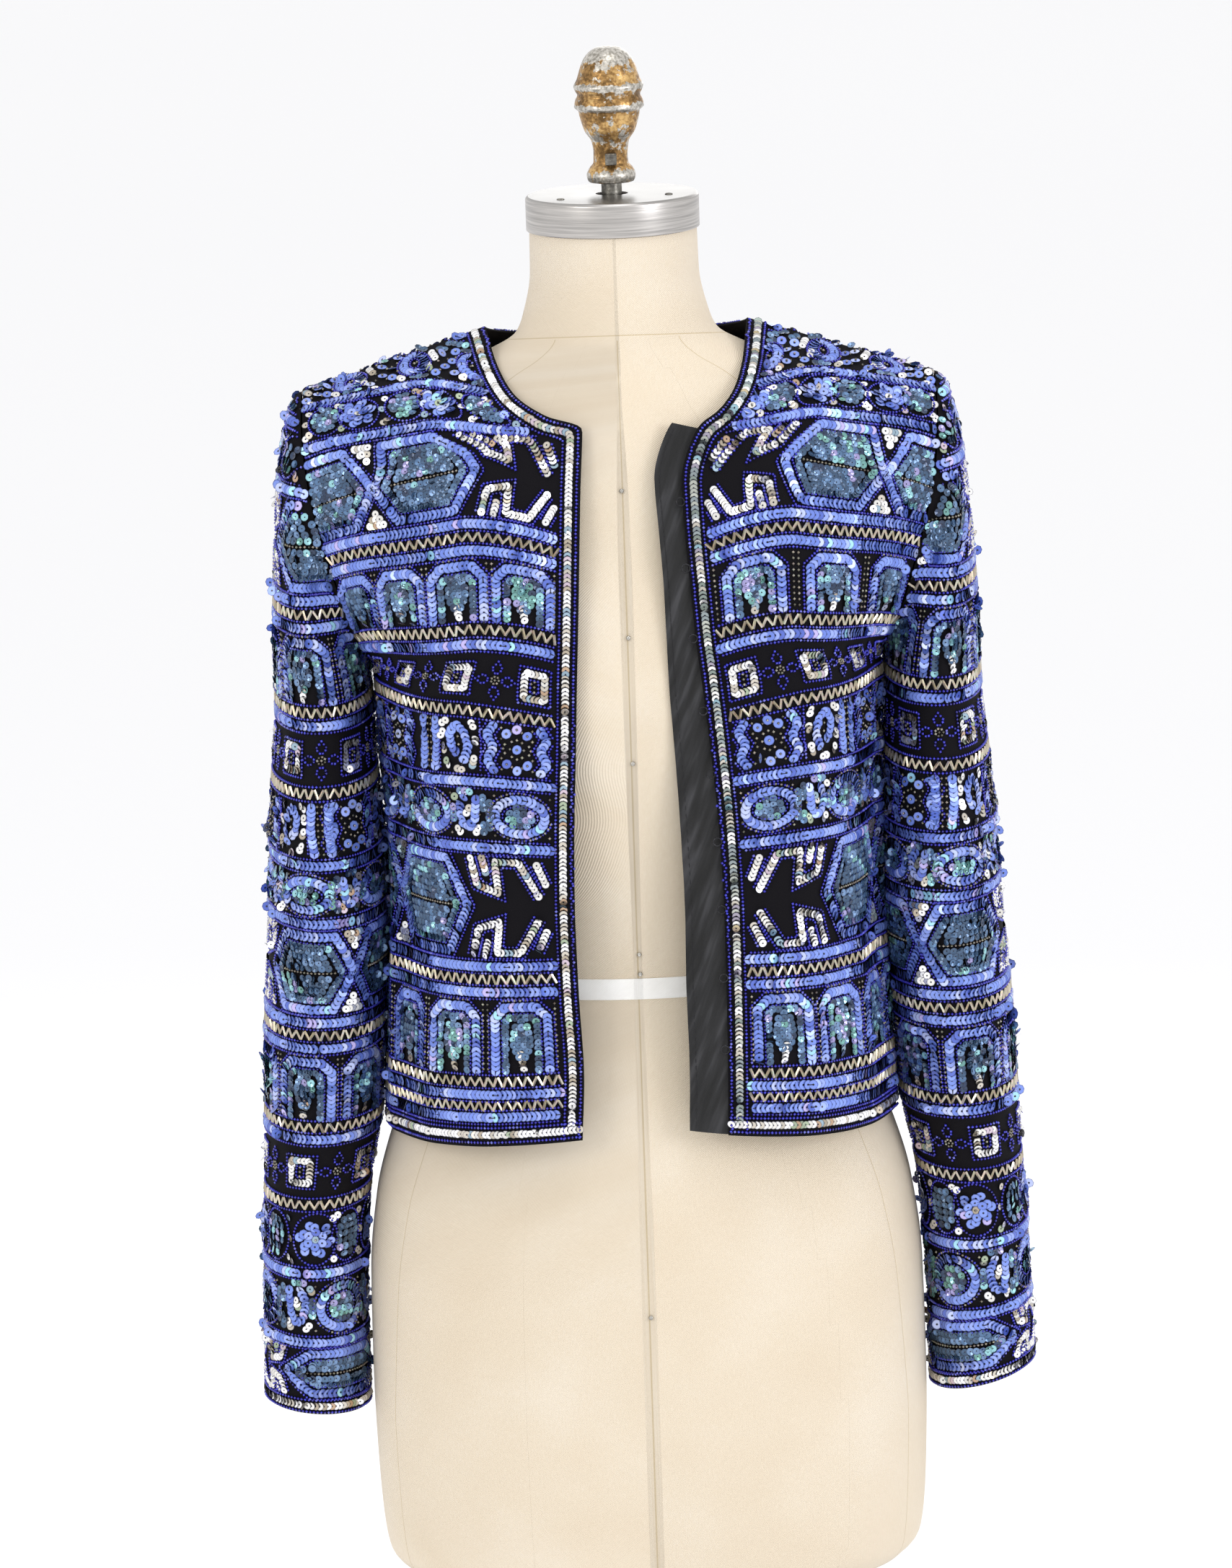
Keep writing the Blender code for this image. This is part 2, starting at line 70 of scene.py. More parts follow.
direction = Vector((LOOK_ASIDE * math.cos(LOOK_DOWN), math.cos(LOOK_DOWN),
                    -math.sin(LOOK_DOWN))).normalized()
camera = bpy.data.objects.new("camera", bpy.data.cameras.new("camera"))
camera.data.lens = LENS
camera.data.sensor_fit = "AUTO"
camera.data.sensor_width = SENSOR
camera.data.clip_end = FAR_END
place = TARGET - direction * DISTANCE
camera.matrix_world = (Matrix.Translation(place)
                       @ direction.to_track_quat("-Z", "Y").to_matrix().to_4x4()
                       @ Matrix.Rotation(-LEAN, 4, "Z"))
bpy.context.scene.collection.objects.link(camera)
bpy.context.scene.camera = camera
print("camera at", tuple(round(v, 3) for v in place))

# %% [markdown]
# Sequins need large soft lights, because each one mirrors a patch of the room. A big panel
# on each side gives every tilted disc something bright to catch. One from above lifts the
# linen and the metal cap, and one behind rims the shoulders. The room around is white.


# %% Light helpers
def linear(hex_colour):
    """An sRGB hex colour as linear red, green, blue and alpha."""
    srgb = np.array([int(hex_colour[i:i + 2], 16) / 255 for i in (0, 2, 4)])
    rgb = np.where(srgb > 0.04045, ((srgb + 0.055) / 1.055) ** 2.4, srgb / 12.92)
    return (*rgb.tolist(), 1.0)


def area_light(name, place, aim, size, watts, colour="FFFFFF"):
    """A square light panel at a place, turned to face its aim."""
    lamp = bpy.data.lights.new(name, "AREA")
    lamp.size = size
    lamp.energy = watts
    lamp.color = linear(colour)[:3]
    holder = bpy.data.objects.new(name, lamp)
    holder.location = place
    turn = (Vector(aim) - Vector(place)).to_track_quat("-Z", "Y")
    holder.rotation_euler = turn.to_euler()
    bpy.context.scene.collection.objects.link(holder)


# %% Lights
ROOM_WHITE, ROOM_STRENGTH = "FDFDFE", 1.0
world = bpy.data.worlds.new("room")
world.use_nodes = True
sky = world.node_tree.nodes["Background"]
sky.inputs["Color"].default_value = linear(ROOM_WHITE)
sky.inputs["Strength"].default_value = ROOM_STRENGTH
bpy.context.scene.world = world
bpy.context.scene.view_settings.view_transform = "Standard"

# Name, place and aim in metres, size in metres, watts, colour.
LIGHTS = (
    ("left_panel", (-1.9, -2.1, 2.1), (0, 0, 0.9), 1.1, 17, "FFFDF8"),
    ("right_panel", (2.1, -1.7, 1.7), (0, 0, 0.9), 1.0, 20, "FAFBFF"),
    ("top_panel", (0.2, -0.7, 3.1), (0, 0, 1.0), 0.9, 8, "FFFFFF"),
    ("back_panel", (0.4, 2.4, 1.9), (0, 0, 1.0), 1.4, 9, "FFFFFF"),
)
for light in LIGHTS:
    area_light(*light)
print(len(LIGHTS), "light panels")

# %% [markdown]
# ## Building blocks
#
# Every material is a small node network around one Principled shader, so one helper adds a
# node with its settings and links. Meshes come from whole arrays: a grid surface is a table
# of points, and a bead row is one small shape repeated by matrix arithmetic.


# %% Material helpers
def new_material(name, **values):
    """A Principled material with its named inputs set, and a function that adds a node."""
    material = bpy.data.materials.new(name)
    material.use_nodes = True
    tree = material.node_tree
    shader = tree.nodes["Principled BSDF"]
    for key, value in values.items():
        shader.inputs[key.replace("_", " ")].default_value = value

    def node(kind, settings=None, **links):
        """Add a node; a link is a value, or an output socket of an earlier node."""
        made = tree.nodes.new("ShaderNode" + kind)
        for key, value in (settings or {}).items():
            setattr(made, key, value)
        for key, value in links.items():
            names = [s.name for s in made.inputs]
            index = int(key[1:]) if key[1:].isdigit() else names.index(key.replace("_", " "))
            if isinstance(value, bpy.types.NodeSocket):
                tree.links.new(value, made.inputs[index])
            else:
                made.inputs[index].default_value = value
        return made

    def drive(key, socket):
        """Link a socket into an input of the shader."""
        tree.links.new(socket, shader.inputs[key.replace("_", " ")])

    return material, node, drive


def ramp(node, factor, *stops):
    """A colour ramp from (position, hex colour) stops."""
    made = node("ValToRGB", i0=factor)
    while len(made.color_ramp.elements) < len(stops):
        made.color_ramp.elements.new(0.5)
    for element, (position, colour) in zip(made.color_ramp.elements, stops):
        element.position = position
        element.color = linear(colour)
    return made.outputs["Color"]


def noise(node, vector, scale, detail, **values):
    """The value of a noise texture, between 0 and 1."""
    return node("TexNoise", Vector=vector, Scale=scale, Detail=detail, **values).outputs["Fac"]


def maths(node, operation, *values):
    """The result of one arithmetic step, such as MULTIPLY_ADD: first * second + third."""
    links = {f"i{index}": value for index, value in enumerate(values)}
    return node("Math", {"operation": operation}, **links).outputs[0]


def remap(node, value, low=0.0, high=1.0, start=0.0, end=1.0):
    """The value carried from low..high to start..end, and held there at both ends."""
    return node("MapRange", i0=value, i1=low, i2=high, i3=start, i4=end).outputs[0]


def bump(node, drive, height, strength, distance):
    """Bump from a height, with its distance in millimetres."""
    made = node("Bump", Strength=strength, Distance=distance * MM, Height=height)
    drive("Normal", made.outputs["Normal"])


# %% [markdown]
# ## The cloths
#
# Black crepe is a dull, slightly pebbled weave. The satin of the underlap is smooth and has
# fine diagonal crinkles from years of folding. The linen of the dress form is a pale cream
# twill whose diagonal rib can be felt with a fingertip; it has yellowed unevenly. Each cloth
# mesh carries a map in real millimetres, so a thread is as wide here as in the cloth.


# %% Cloth materials
def cloth_map(node, turn=0.0, scale=(1, 1, 1)):
    """The cloth's own millimetre map, turned by some degrees and scaled."""
    uv = node("UVMap", {"uv_map": "mm"})
    return node("Mapping", Vector=uv.outputs["UV"], Rotation=(0, 0, math.radians(turn)),
                Scale=scale).outputs["Vector"]


def make_crepe():
    """Near-black crepe: pebbled and dull."""
    material, node, drive = new_material(
        "black crepe", Roughness=0.85, Specular_IOR_Level=0.12)
    pebble = noise(node, cloth_map(node), 2.2, 3.0)
    drive("Base Color", ramp(node, pebble, (0.3, "08070A"), (0.75, "151318")))
    bump(node, drive, pebble, 0.5, 0.25)
    return material


def make_satin():
    """Black satin: soft shine, slanted creases with painted sheen, over a fine thread."""
    material, node, drive = new_material("black satin", Specular_IOR_Level=0.32)
    slanted = node("Mapping", Vector=cloth_map(node, 68), Scale=(0.022, 0.16, 1))
    crease_and_sheen = noise(node, slanted.outputs["Vector"], 1.0, 2.0)
    thread = node("TexWave", {"bands_direction": "Y"}, Vector=cloth_map(node, 8), Scale=0.9,
                  Distortion=1.5).outputs["Fac"]
    # Painted sheen: the colour is lighter along the raised creases.
    drive("Base Color", ramp(node, crease_and_sheen, (0.36, "111112"), (0.52, "202022"),
                             (0.7, "3C3C3F")))
    drive("Roughness", remap(node, crease_and_sheen, start=0.34, end=0.52))
    bump(node, drive, maths(node, "MULTIPLY_ADD", thread, 0.12, crease_and_sheen), 0.6, 1.8)
    return material


def make_linen():
    """Cream linen twill: a diagonal rib, thread slubs, broad yellowed patches, and a dark
    groove along the seams, whose distance the second map holds."""
    material, node, drive = new_material("linen twill", Roughness=0.9, Sheen_Weight=0.15)
    rib = node("TexWave", {"bands_direction": "X"}, Vector=cloth_map(node, 58), Scale=0.36,
               Distortion=1.2, Detail=2.0).outputs["Fac"]
    slub = noise(node, cloth_map(node, 0, (1.2, 0.25, 1)), 0.9, 3.0)
    patch = noise(node, cloth_map(node), 0.012, 2.0)
    tone = maths(node, "MULTIPLY_ADD", slub, 0.5, patch)
    shade = ramp(node, tone, (0.4, "D9C9B1"), (0.75, "DED0BA"), (1.0, "E2D6C3"))
    away = node("SeparateXYZ", Vector=node("UVMap", {"uv_map": "seam"}).outputs["UV"])
    near = maths(node, "MINIMUM", maths(node, "ABSOLUTE", away.outputs["X"]),
                 maths(node, "ABSOLUTE", away.outputs["Y"]))
    line = remap(node, near, 0.1, 0.45)
    drive("Base Color", node("MixRGB", i0=line, i1=linear("C6B493"), i2=shade).outputs[0])
    groove = remap(node, near, 0.0, 1.2, -1.2, 0.0)
    weave = maths(node, "MULTIPLY_ADD", slub, 0.6, rib)
    bump(node, drive, maths(node, "ADD", weave, groove), 0.55, 0.35)
    return material


def make_tape():
    """White cotton twill tape: a tight fine rib, a little greyed in patches."""
    material, node, drive = new_material("cotton tape", Roughness=0.85, Sheen_Weight=0.1)
    rib = node("TexWave", {"bands_direction": "X"}, Vector=cloth_map(node, 60),
               Scale=0.55).outputs["Fac"]
    soil = noise(node, cloth_map(node), 0.05, 3.0)
    drive("Base Color", ramp(node, soil, (0.3, "F4F2ED"), (0.7, "FFFEFB")))
    bump(node, drive, rib, 0.5, 0.25)
    return material


crepe, satin, linen, tape_cloth = make_crepe(), make_satin(), make_linen(), make_tape()
print("cloth materials:", crepe.name, satin.name, linen.name, tape_cloth.name)

# %% [markdown]
# ## The metals
#
# The neck cap is brushed aluminium, turned in a lathe, so its grain runs round. The finial is
# cast metal under old gold-bronze paint, worn through to bare grey on its edges and dented
# places. The pole and base are dark painted steel.


# %% Metal materials
def make_brushed():
    """Turned aluminium: rings of fine grain, a few dull spots, and painted shade on its top."""
    material, node, drive = new_material("brushed aluminium", Metallic=1.0)
    place = node("TexCoord").outputs["Object"]
    parts = node("SeparateXYZ", Vector=place)
    squares = maths(node, "ADD", maths(node, "POWER", parts.outputs["X"], 2.0),
                    maths(node, "POWER", parts.outputs["Y"], 2.0))
    grain = node("TexNoise", {"noise_dimensions": "1D"}, W=maths(node, "SQRT", squares),
                 Scale=1900.0, Detail=3.0)
    long = node("Mapping", Vector=place, Scale=(0.22, 0.22, 9.0))
    spots = noise(node, long.outputs["Vector"], 110.0, 4.0)
    # Faces turned up get a darker colour: painted shade on the top, which the lamps light
    # brightly.
    facing = node("SeparateXYZ", Vector=node("NewGeometry").outputs["Normal"])
    top = remap(node, facing.outputs["Z"], 0.5, 0.95)
    side = ramp(node, spots, (0.3, "A5A29F"), (0.7, "D0CCC8"))
    drive("Base Color", node("MixRGB", i0=top, i1=side, i2=linear("8C8A87")).outputs[0])
    drive("Roughness", remap(node, spots, start=0.26, end=0.4))
    bump(node, drive, grain.outputs["Fac"], 0.3, 0.05)
    return material


def make_paint(name, paint, worn, metal, share, roughness, rubbed=False):
    """Old paint on metal: broad patches, fine dark speckles, and bare metal where it has
    worn. The share is the level above which it has worn through; a rubbed piece wears more
    on the edges that its own map holds."""
    material, node, drive = new_material(name, Metallic=metal)
    place = node("TexCoord").outputs["Object"]
    patch = noise(node, place, 70.0, 4.0)
    speckle = noise(node, place, 520.0, 4.0)
    level = noise(node, place, 190.0, 7.0, Roughness=0.62)
    if rubbed:
        rub = node("SeparateXYZ", Vector=node("UVMap", {"uv_map": "rub"}).outputs["UV"])
        level = maths(node, "MULTIPLY_ADD", rub.outputs["X"], 0.34, level)
    mask = remap(node, level, share, share + 0.03)
    tone = maths(node, "MULTIPLY_ADD", speckle, 0.7, patch)
    colour = ramp(node, tone, (0.68, paint[0]), (0.86, paint[1]), (1.0, paint[2]))
    bare = ramp(node, speckle, (0.36, worn[0]), (0.6, worn[1]))
    drive("Base Color", node("MixRGB", i0=mask, i1=colour, i2=bare).outputs[0])
    drive("Roughness", remap(node, tone, 0.6, 1.1, roughness + 0.1, roughness - 0.08))
    bump(node, drive, maths(node, "MULTIPLY_ADD", mask, -0.5, speckle), 0.5, 0.3)
    return material


# Three tones of the paint, two of the worn places, metal, worn level, roughness.
brushed = make_brushed()
gold_paint = make_paint("worn gold paint", ("6B5130", "A5804F", "D2AD72"),
                        ("8E897F", "D0CBC2"), 0.85, 0.585, 0.34, rubbed=True)
steel = make_paint("screw steel", ("5E5B56", "7F7C75", "9A978F"), ("4A4640", "6A665F"),
                   1.0, 0.62, 0.36)
dark_steel = make_paint("painted steel", ("1F1F21", "29292B", "333336"), ("4A4A4C", "5E5E60"),
                        0.4, 0.68, 0.5)
pin_metal = make_paint("pin steel", ("A5A29B", "B8B5AE", "CFCCC4"), ("77736B", "8A867E"),
                       1.0, 0.7, 0.3)
print("metals ready")

# %% [markdown]
# ## The cut of the jacket
#
# The jacket is measured in rows. A front row starts at the front edge (or the neckline) and
# runs on a turning arc to the side seam (or the armhole); the back and the sleeves are made
# in the same way. These are the tables of that cut, with heights measured down from the top
# of the neck cap.

# %% Tables of the cut
WALL = 1.2
FRONT_NAMES = ("down", "edge_y", "right_edge", "left_edge",
               "side_x", "side_y", "side_down", "turn", "bust")
BACK_NAMES = ("down", "centre_y", "side_x", "side_y", "side_down", "turn", "collar")
SLEEVE_NAMES = ("down", "inner_x", "outer_x", "front_y", "back_y")
FRONT_ROWS = (
    (540, -116, 35.7, 49.5, 153.5, 5, 555, 90, 6),
    (497, -115, 33.5, 50.5, 150.5, 5, 508, 90, 6),
    (453, -113, 35.0, 51.0, 147.0, 5, 460, 90, 7),
    (409, -112, 35.6, 51.0, 144.5, 5, 413, 90, 9),
    (360, -113, 34.5, 49.5, 145.5, 5, 364, 90, 12),
    (312, -115, 32.0, 46.0, 148.0, 5, 320, 90, 15),
    (270, -117, 30.0, 42.0, 150.0, 5, 275, 88, 16),
    (243, -117, 28.5, 39.0, 154.5, -26, 262, 76, 15),
    (214, -115, 27.0, 37.0, 162.0, -43, 240, 66, 12),
    (185, -110, 25.6, 35.0, 169.5, -51, 213, 60, 8),
    (155, -101, 24.0, 34.0, 176.5, -51, 187, 56, 5),
    (125, -88, 22.0, 45.0, 181.5, -46, 164, 52, 2),
    (117, -80, 43.0, 57.0, 184.0, -38, 146, 48, 0),
    (107, -65, 60.0, 66.5, 185.3, -27, 131, 44, 0),
    (94, -40, 69.5, 72.5, 185.5, -13, 119, 34, 0),
    (76, 2, 77.0, 77.0, 185.0, 2, 111, 2, 0),
)
BACK_ROWS = (
    (552, 100, 153.5, 5, 555, 90, 0),
    (506, 97, 150.5, 5, 508, 90, 0),
    (458, 92, 147.0, 5, 460, 90, 0),
    (411, 90, 144.5, 5, 413, 90, 0),
    (360, 92, 145.5, 5, 364, 90, 0),
    (312, 97, 148.0, 5, 320, 90, 0),
    (268, 101, 150.0, 5, 275, 88, 0),
    (241, 102, 155.5, 36, 262, 78, 0),
    (212, 102, 163.0, 53, 238, 70, 0),
    (182, 99, 171.0, 60, 209, 64, 0),
    (154, 93, 178.0, 57, 180, 60, 0.02),
    (128, 82, 183.0, 45, 152, 58, 0.12),
    (108, 70, 185.3, 26, 127, 60, 0.45),
    (90, 57, 185.0, 2, 111, 60, 1),
)
SLEEVE_ROWS = (
    (300, 152.6, 208.5, -60, 68),
    (340, 151.6, 212.5, -61, 68),
    (380, 149.2, 215.0, -60, 67),
    (418, 148.4, 217.5, -57, 66),
    (458, 149.6, 221.0, -54, 65),
    (500, 153.0, 224.0, -51, 64),
    (545, 156.6, 226.0, -47, 62),
    (598, 166.5, 228.5, -41, 58),
    (650, 170.6, 231.0, -37, 54),
    (700, 171.6, 233.0, -31, 48),
    (734, 171.6, 234.0, -28, 45),
)
# The rows where the armholes start and where the fronts turn into the neckline, and the
# share of the back's top row that is neckline.
UNDERARM_ROW = 6
NECK_CORNER_ROW = 11
BACK_NECK_DOWN = 90.0
BACK_NECK_Y = 57.0
NECK_SHARE = 0.4
# The underlap's free edge row by row, its hidden width and its depth under the front.
LAP_EDGE = (26.5, 27.5, 27.0, 27.5, 26.5, 24.5, 22.5, 22.0, 21.5, 20.0, 18.5, 30.0)
LAP_UNDER = 8.0
LAP_DEPTH = 2.4
# How much each cuff (right -1, left 1) rises outward, from which height on, and how far the
# curves of the sleeve head reach outward and downward, as parts of their own length.
CUFF_LIFT = {-1: 6.0, 1: 15.0}
LIFT_START = 600.0
HEAD_OUTWARD = 0.43
HEAD_TOP_OUTWARD = 0.26
HEAD_DOWNWARD = 1.05
SLEEVE_SEAM = 0.9
print("rows:", len(FRONT_ROWS), len(BACK_ROWS), len(SLEEVE_ROWS))

# %% [markdown]
# Folds are soft ridges laid on the cloth one by one, no two alike. The heavy beadwork lets
# only broad ones form: at the waist, in the crook of each elbow and above each cuff.

# %% Tables of the folds
FOLD_NAMES = ("place", "down", "width", "length", "height", "slant")
FOLDS = {
    "front_right": ((0.80, 450, 0.055, 95, 4.0, 0), (0.55, 500, 0.060, 60, 1.6, 0),
                    (0.90, 300, 0.05, 30, 1.0, 0.1), (0.30, 520, 0.05, 40, 0.8, 0.04)),
    "front_left": ((0.88, 400, 0.050, 110, 4.2, 0), (0.62, 470, 0.050, 60, 2.6, 0),
                   (0.92, 290, 0.05, 26, 1.0, -0.1), (0.34, 505, 0.05, 50, 1.0, -0.05)),
    "back": ((0.46, 470, 0.070, 80, 3.4, 0), (-0.52, 455, 0.070, 90, 3.8, 0),
             (0.05, 250, 0.080, 60, 2.0, 0), (0.80, 505, 0.04, 40, 0.9, 0.03),
             (-0.80, 390, 0.05, 45, 1.0, -0.05), (-0.2, 390, 0.06, 35, 0.8, 0.06)),
    "sleeve": ((50, 405, 42, 11, 3.0, 0), (20, 372, 34, 9, 2.2, 0),
               (78, 436, 36, 9, 2.4, 0), (300, 420, 40, 12, 3.2, 0),
               (250, 385, 36, 10, 2.4, 0), (350, 620, 46, 12, 1.8, 0),
               (120, 398, 26, 7, 1.2, 8), (200, 640, 40, 9, 1.0, 10),
               (70, 560, 30, 8, 0.9, -8), (320, 500, 34, 9, 1.1, 6)),
}
print({name: len(rows) for name, rows in FOLDS.items()})


# %% [markdown]
# ## From tables to surfaces
#
# A smooth cubic runs through each column of a table, and a panel is then a function of two
# parameters: the row, and the share of the way across it.


# %% Surface formulas
def smooth(values, place):
    """Value of a column at fractional rows: a cubic through the rows that never overshoots,
    because its slope at a row is the harmonic mean of the two steps beside it."""
    values = np.asarray(values, float)
    steps = np.diff(values)
    product = steps[:-1] * steps[1:]
    total = np.where(product > 0, steps[:-1] + steps[1:], 1.0)
    slopes = np.concatenate([steps[:1], np.where(product > 0, 2 * product / total, 0),
                             steps[-1:]])
    place = np.clip(np.asarray(place, float), 0, len(values) - 1)
    row = np.minimum(place.astype(int), len(values) - 2)
    t = place - row
    rise = t * t * (3 - 2 * t)
    return (values[row] * (1 - rise) + values[row + 1] * rise
            + slopes[row] * t * (1 - t) ** 2 - slopes[row + 1] * t * t * (1 - t))


def read_rows(names, rows, place):
    """A dictionary with every named column of a table at fractional rows."""
    return {name: smooth([row[i] for row in rows], place) for i, name in enumerate(names)}


def ridge(folds, place, down, turn_round=False):
    """Height of the folds: a sum of bell curves, each leaning by its slant. On a tube, the
    angle between a point and a fold is the short way round."""
    height = np.zeros(np.broadcast(place, down).shape)
    for fold in folds:
        f = dict(zip(FOLD_NAMES, fold))
        along = (down - f["down"]) / f["length"]
        away = place - f["place"] - f["slant"] * along
        if turn_round:
            away = (away + 180) % 360 - 180
        height = height + f["height"] * np.exp(-(away / f["width"]) ** 2 - along ** 2)
    return height


def grid_normals(points, closed=False):
    """Unit normals of a grid of points, rows first, from the steps along and across it."""
    if closed:
        around = np.roll(points, -1, axis=1) - np.roll(points, 1, axis=1)
    else:
        around = np.gradient(points, axis=1)
    normals = np.cross(around, np.gradient(points, axis=0))
    return normals / np.maximum(np.linalg.norm(normals, axis=2, keepdims=True), 1e-9)


def front_points(side, place, share):
    """Outer face of a front: each row is an arc that turns from facing forward at the edge
    to facing the side, moved out in its middle by the bust. Side is -1 right, +1 left."""
    row = read_rows(FRONT_NAMES, FRONT_ROWS, place)
    edge_x = row["left_edge"] if side > 0 else row["right_edge"]
    turn = np.radians(row["turn"])
    angle = share * turn
    x = edge_x + (row["side_x"] - edge_x) * np.sin(angle) / np.sin(turn)
    bend = (np.cos(angle) - np.cos(turn)) / (1 - np.cos(turn))
    y = row["side_y"] + (row["edge_y"] - row["side_y"]) * bend
    y = y - row["bust"] * np.sin(math.pi * np.clip(share, 0, 1)) ** 2
    down = row["down"] + (row["side_down"] - row["down"]) * share
    return np.stack([side * x, y, CAP_TOP - down], axis=-1), down


def back_points(place, share):
    """Outer face of the back: arcs as on the fronts, with share from -1 to +1. The top rows
    turn into the back neckline with a straight shoulder seam on each side."""
    row = read_rows(BACK_NAMES, BACK_ROWS, place)
    part = np.abs(share)
    turn = np.radians(row["turn"])
    angle = part * turn
    x = row["side_x"] * np.sin(angle) / np.sin(turn)
    bend = (np.cos(angle) - np.cos(turn)) / (1 - np.cos(turn))
    y = row["side_y"] + (row["centre_y"] - row["side_y"]) * bend
    down = row["down"] + (row["side_down"] - row["down"]) * part
    shoulder = dict(zip(FRONT_NAMES, FRONT_ROWS[-1]))
    neck = np.clip(part / NECK_SHARE, 0, 1) * math.pi / 2
    seam = np.clip((part - NECK_SHARE) / (1 - NECK_SHARE), 0, 1)
    neck_x = shoulder["left_edge"]
    top_x = neck_x * np.sin(neck) + (shoulder["side_x"] - neck_x) * seam
    top_y = (shoulder["edge_y"] + (BACK_NECK_Y - shoulder["edge_y"]) * np.cos(neck)
             + (shoulder["side_y"] - shoulder["edge_y"]) * seam)
    top_down = (shoulder["down"] + (BACK_NECK_DOWN - shoulder["down"]) * np.cos(neck)
                + (shoulder["side_down"] - shoulder["down"]) * seam)
    collar = row["collar"]
    x = x + (top_x - x) * collar
    y = y + (top_y - y) * collar
    down = down + (top_down - down) * collar
    return np.stack([np.sign(share) * x, y, CAP_TOP - down], axis=-1), down


def armhole_loop(side, angle):
    """Points round an armhole: angle 0 at the shoulder tip, 180 degrees at the underarm, the
    front half before it and the back half after it."""
    down_front = np.clip(angle / math.pi, 0, 1)
    up_back = np.clip(angle / math.pi - 1, 0, 1)
    front_top, back_top = len(FRONT_ROWS) - 1, len(BACK_ROWS) - 1
    one = np.ones_like(angle)
    front, _ = front_points(side, front_top + (UNDERARM_ROW - front_top) * down_front, one)
    back, _ = back_points(UNDERARM_ROW + (back_top - UNDERARM_ROW) * up_back, side * one)
    return np.where((angle <= math.pi)[..., None], front, back)


def sleeve_points(side, rows, sides):
    """Outer face of a sleeve: level ovals from the cuff up, then a full head on Hermite
    curves that bends over to the armhole. Rows is the count on (head, tube)."""
    angle = np.arange(sides) * 2 * math.pi / sides
    row = read_rows(SLEEVE_NAMES, SLEEVE_ROWS, np.linspace(0, len(SLEEVE_ROWS) - 1, rows[1]))
    row = {name: values[:, None] for name, values in row.items()}
    half_wide = (row["outer_x"] - row["inner_x"]) / 2
    half_deep = (row["back_y"] - row["front_y"]) / 2
    x = (row["outer_x"] + row["inner_x"]) / 2 + half_wide * np.cos(angle)
    y = (row["front_y"] + row["back_y"]) / 2 - half_deep * np.sin(angle)
    lift = np.clip((row["down"] - LIFT_START) / (row["down"][-1] - LIFT_START), 0, 1) ** 2
    down = row["down"] - CUFF_LIFT[side] * lift * (1 + np.cos(angle)) / 2
    ovals = np.stack([side * x, y, CAP_TOP - down], axis=-1)
    start = armhole_loop(side, angle)
    start[:, 0] += side * SLEEVE_SEAM
    end = ovals[0]
    reach = np.linalg.norm(end - start, axis=1, keepdims=True)
    top = np.clip(np.cos(angle), 0, 1)[:, None]
    outward = HEAD_OUTWARD + (HEAD_TOP_OUTWARD - HEAD_OUTWARD) * top
    out = reach * outward * np.array([side, 0.0, 0.0])
    fall = reach * HEAD_DOWNWARD * np.array([0.0, 0.0, -1.0])
    t = np.linspace(0, 1, rows[0] + 1)[:-1, None, None]
    rise = t * t * (3 - 2 * t)
    head = start * (1 - rise) + end * rise + out * t * (1 - t) ** 2 - fall * t * t * (1 - t)
    points = np.concatenate([head, ovals])[::-1]
    return points, CAP_TOP - points[:, :, 2]


print("neck point of a front:", front_points(1, len(FRONT_ROWS) - 1.0, 0.0)[0].round(1))

# %% [markdown]
# ## A chart for every panel
#
# The beadwork is drawn in bands, each at its own height above the hem or cuff. So each panel
# gets a chart: a regular table of points where one index is the height V measured along the
# cloth, and the other the share across it. On the fronts a band drops towards the front
# edge, because the bust below it takes up cloth; the chart carries that bow.

# %% Chart of a panel
STEP = 1.5
BELOW_HEM, ABOVE_TOP = 9.0, 45.0
FAR = 99.0
FRONT_ACROSS, BACK_ACROSS, SLEEVE_ROUND = 121, 241, 180
REFERENCE_SHARE = 0.35
# The drop at the front edge by level, and the smaller one at the side seam.
BOW = ((0, 0), (110, 0), (182, 5), (241, 11), (305, 18), (365, 26), (420, 34), (600, 34))
SIDE_DROP = 3.5
# The shares across a panel at which the front edge's drop has faded out and the side's
# starts, and how wide the side's is.
BOW_END, SIDE_START, SIDE_WIDE = 0.4, 0.7, 0.3


def arc_length(points):
    """Distance along each column of a grid, from its first row."""
    steps = np.linalg.norm(np.diff(points, axis=0), axis=2)
    return np.concatenate([np.zeros((1, points.shape[1])), np.cumsum(steps, axis=0)])


def bow(edge, side):
    """A function of level and share that says how much lower a band lies there than at its
    reference column: most at the front edge, a little at the side."""
    def drop(level, share):
        near = np.clip(1 - share / BOW_END, 0, 1) ** 1.5
        far = np.clip((np.abs(share) - SIDE_START) / SIDE_WIDE, 0, 1) ** 2
        return (np.interp(level, *zip(*BOW)) if edge else 0.0) * near + side * far
    return drop


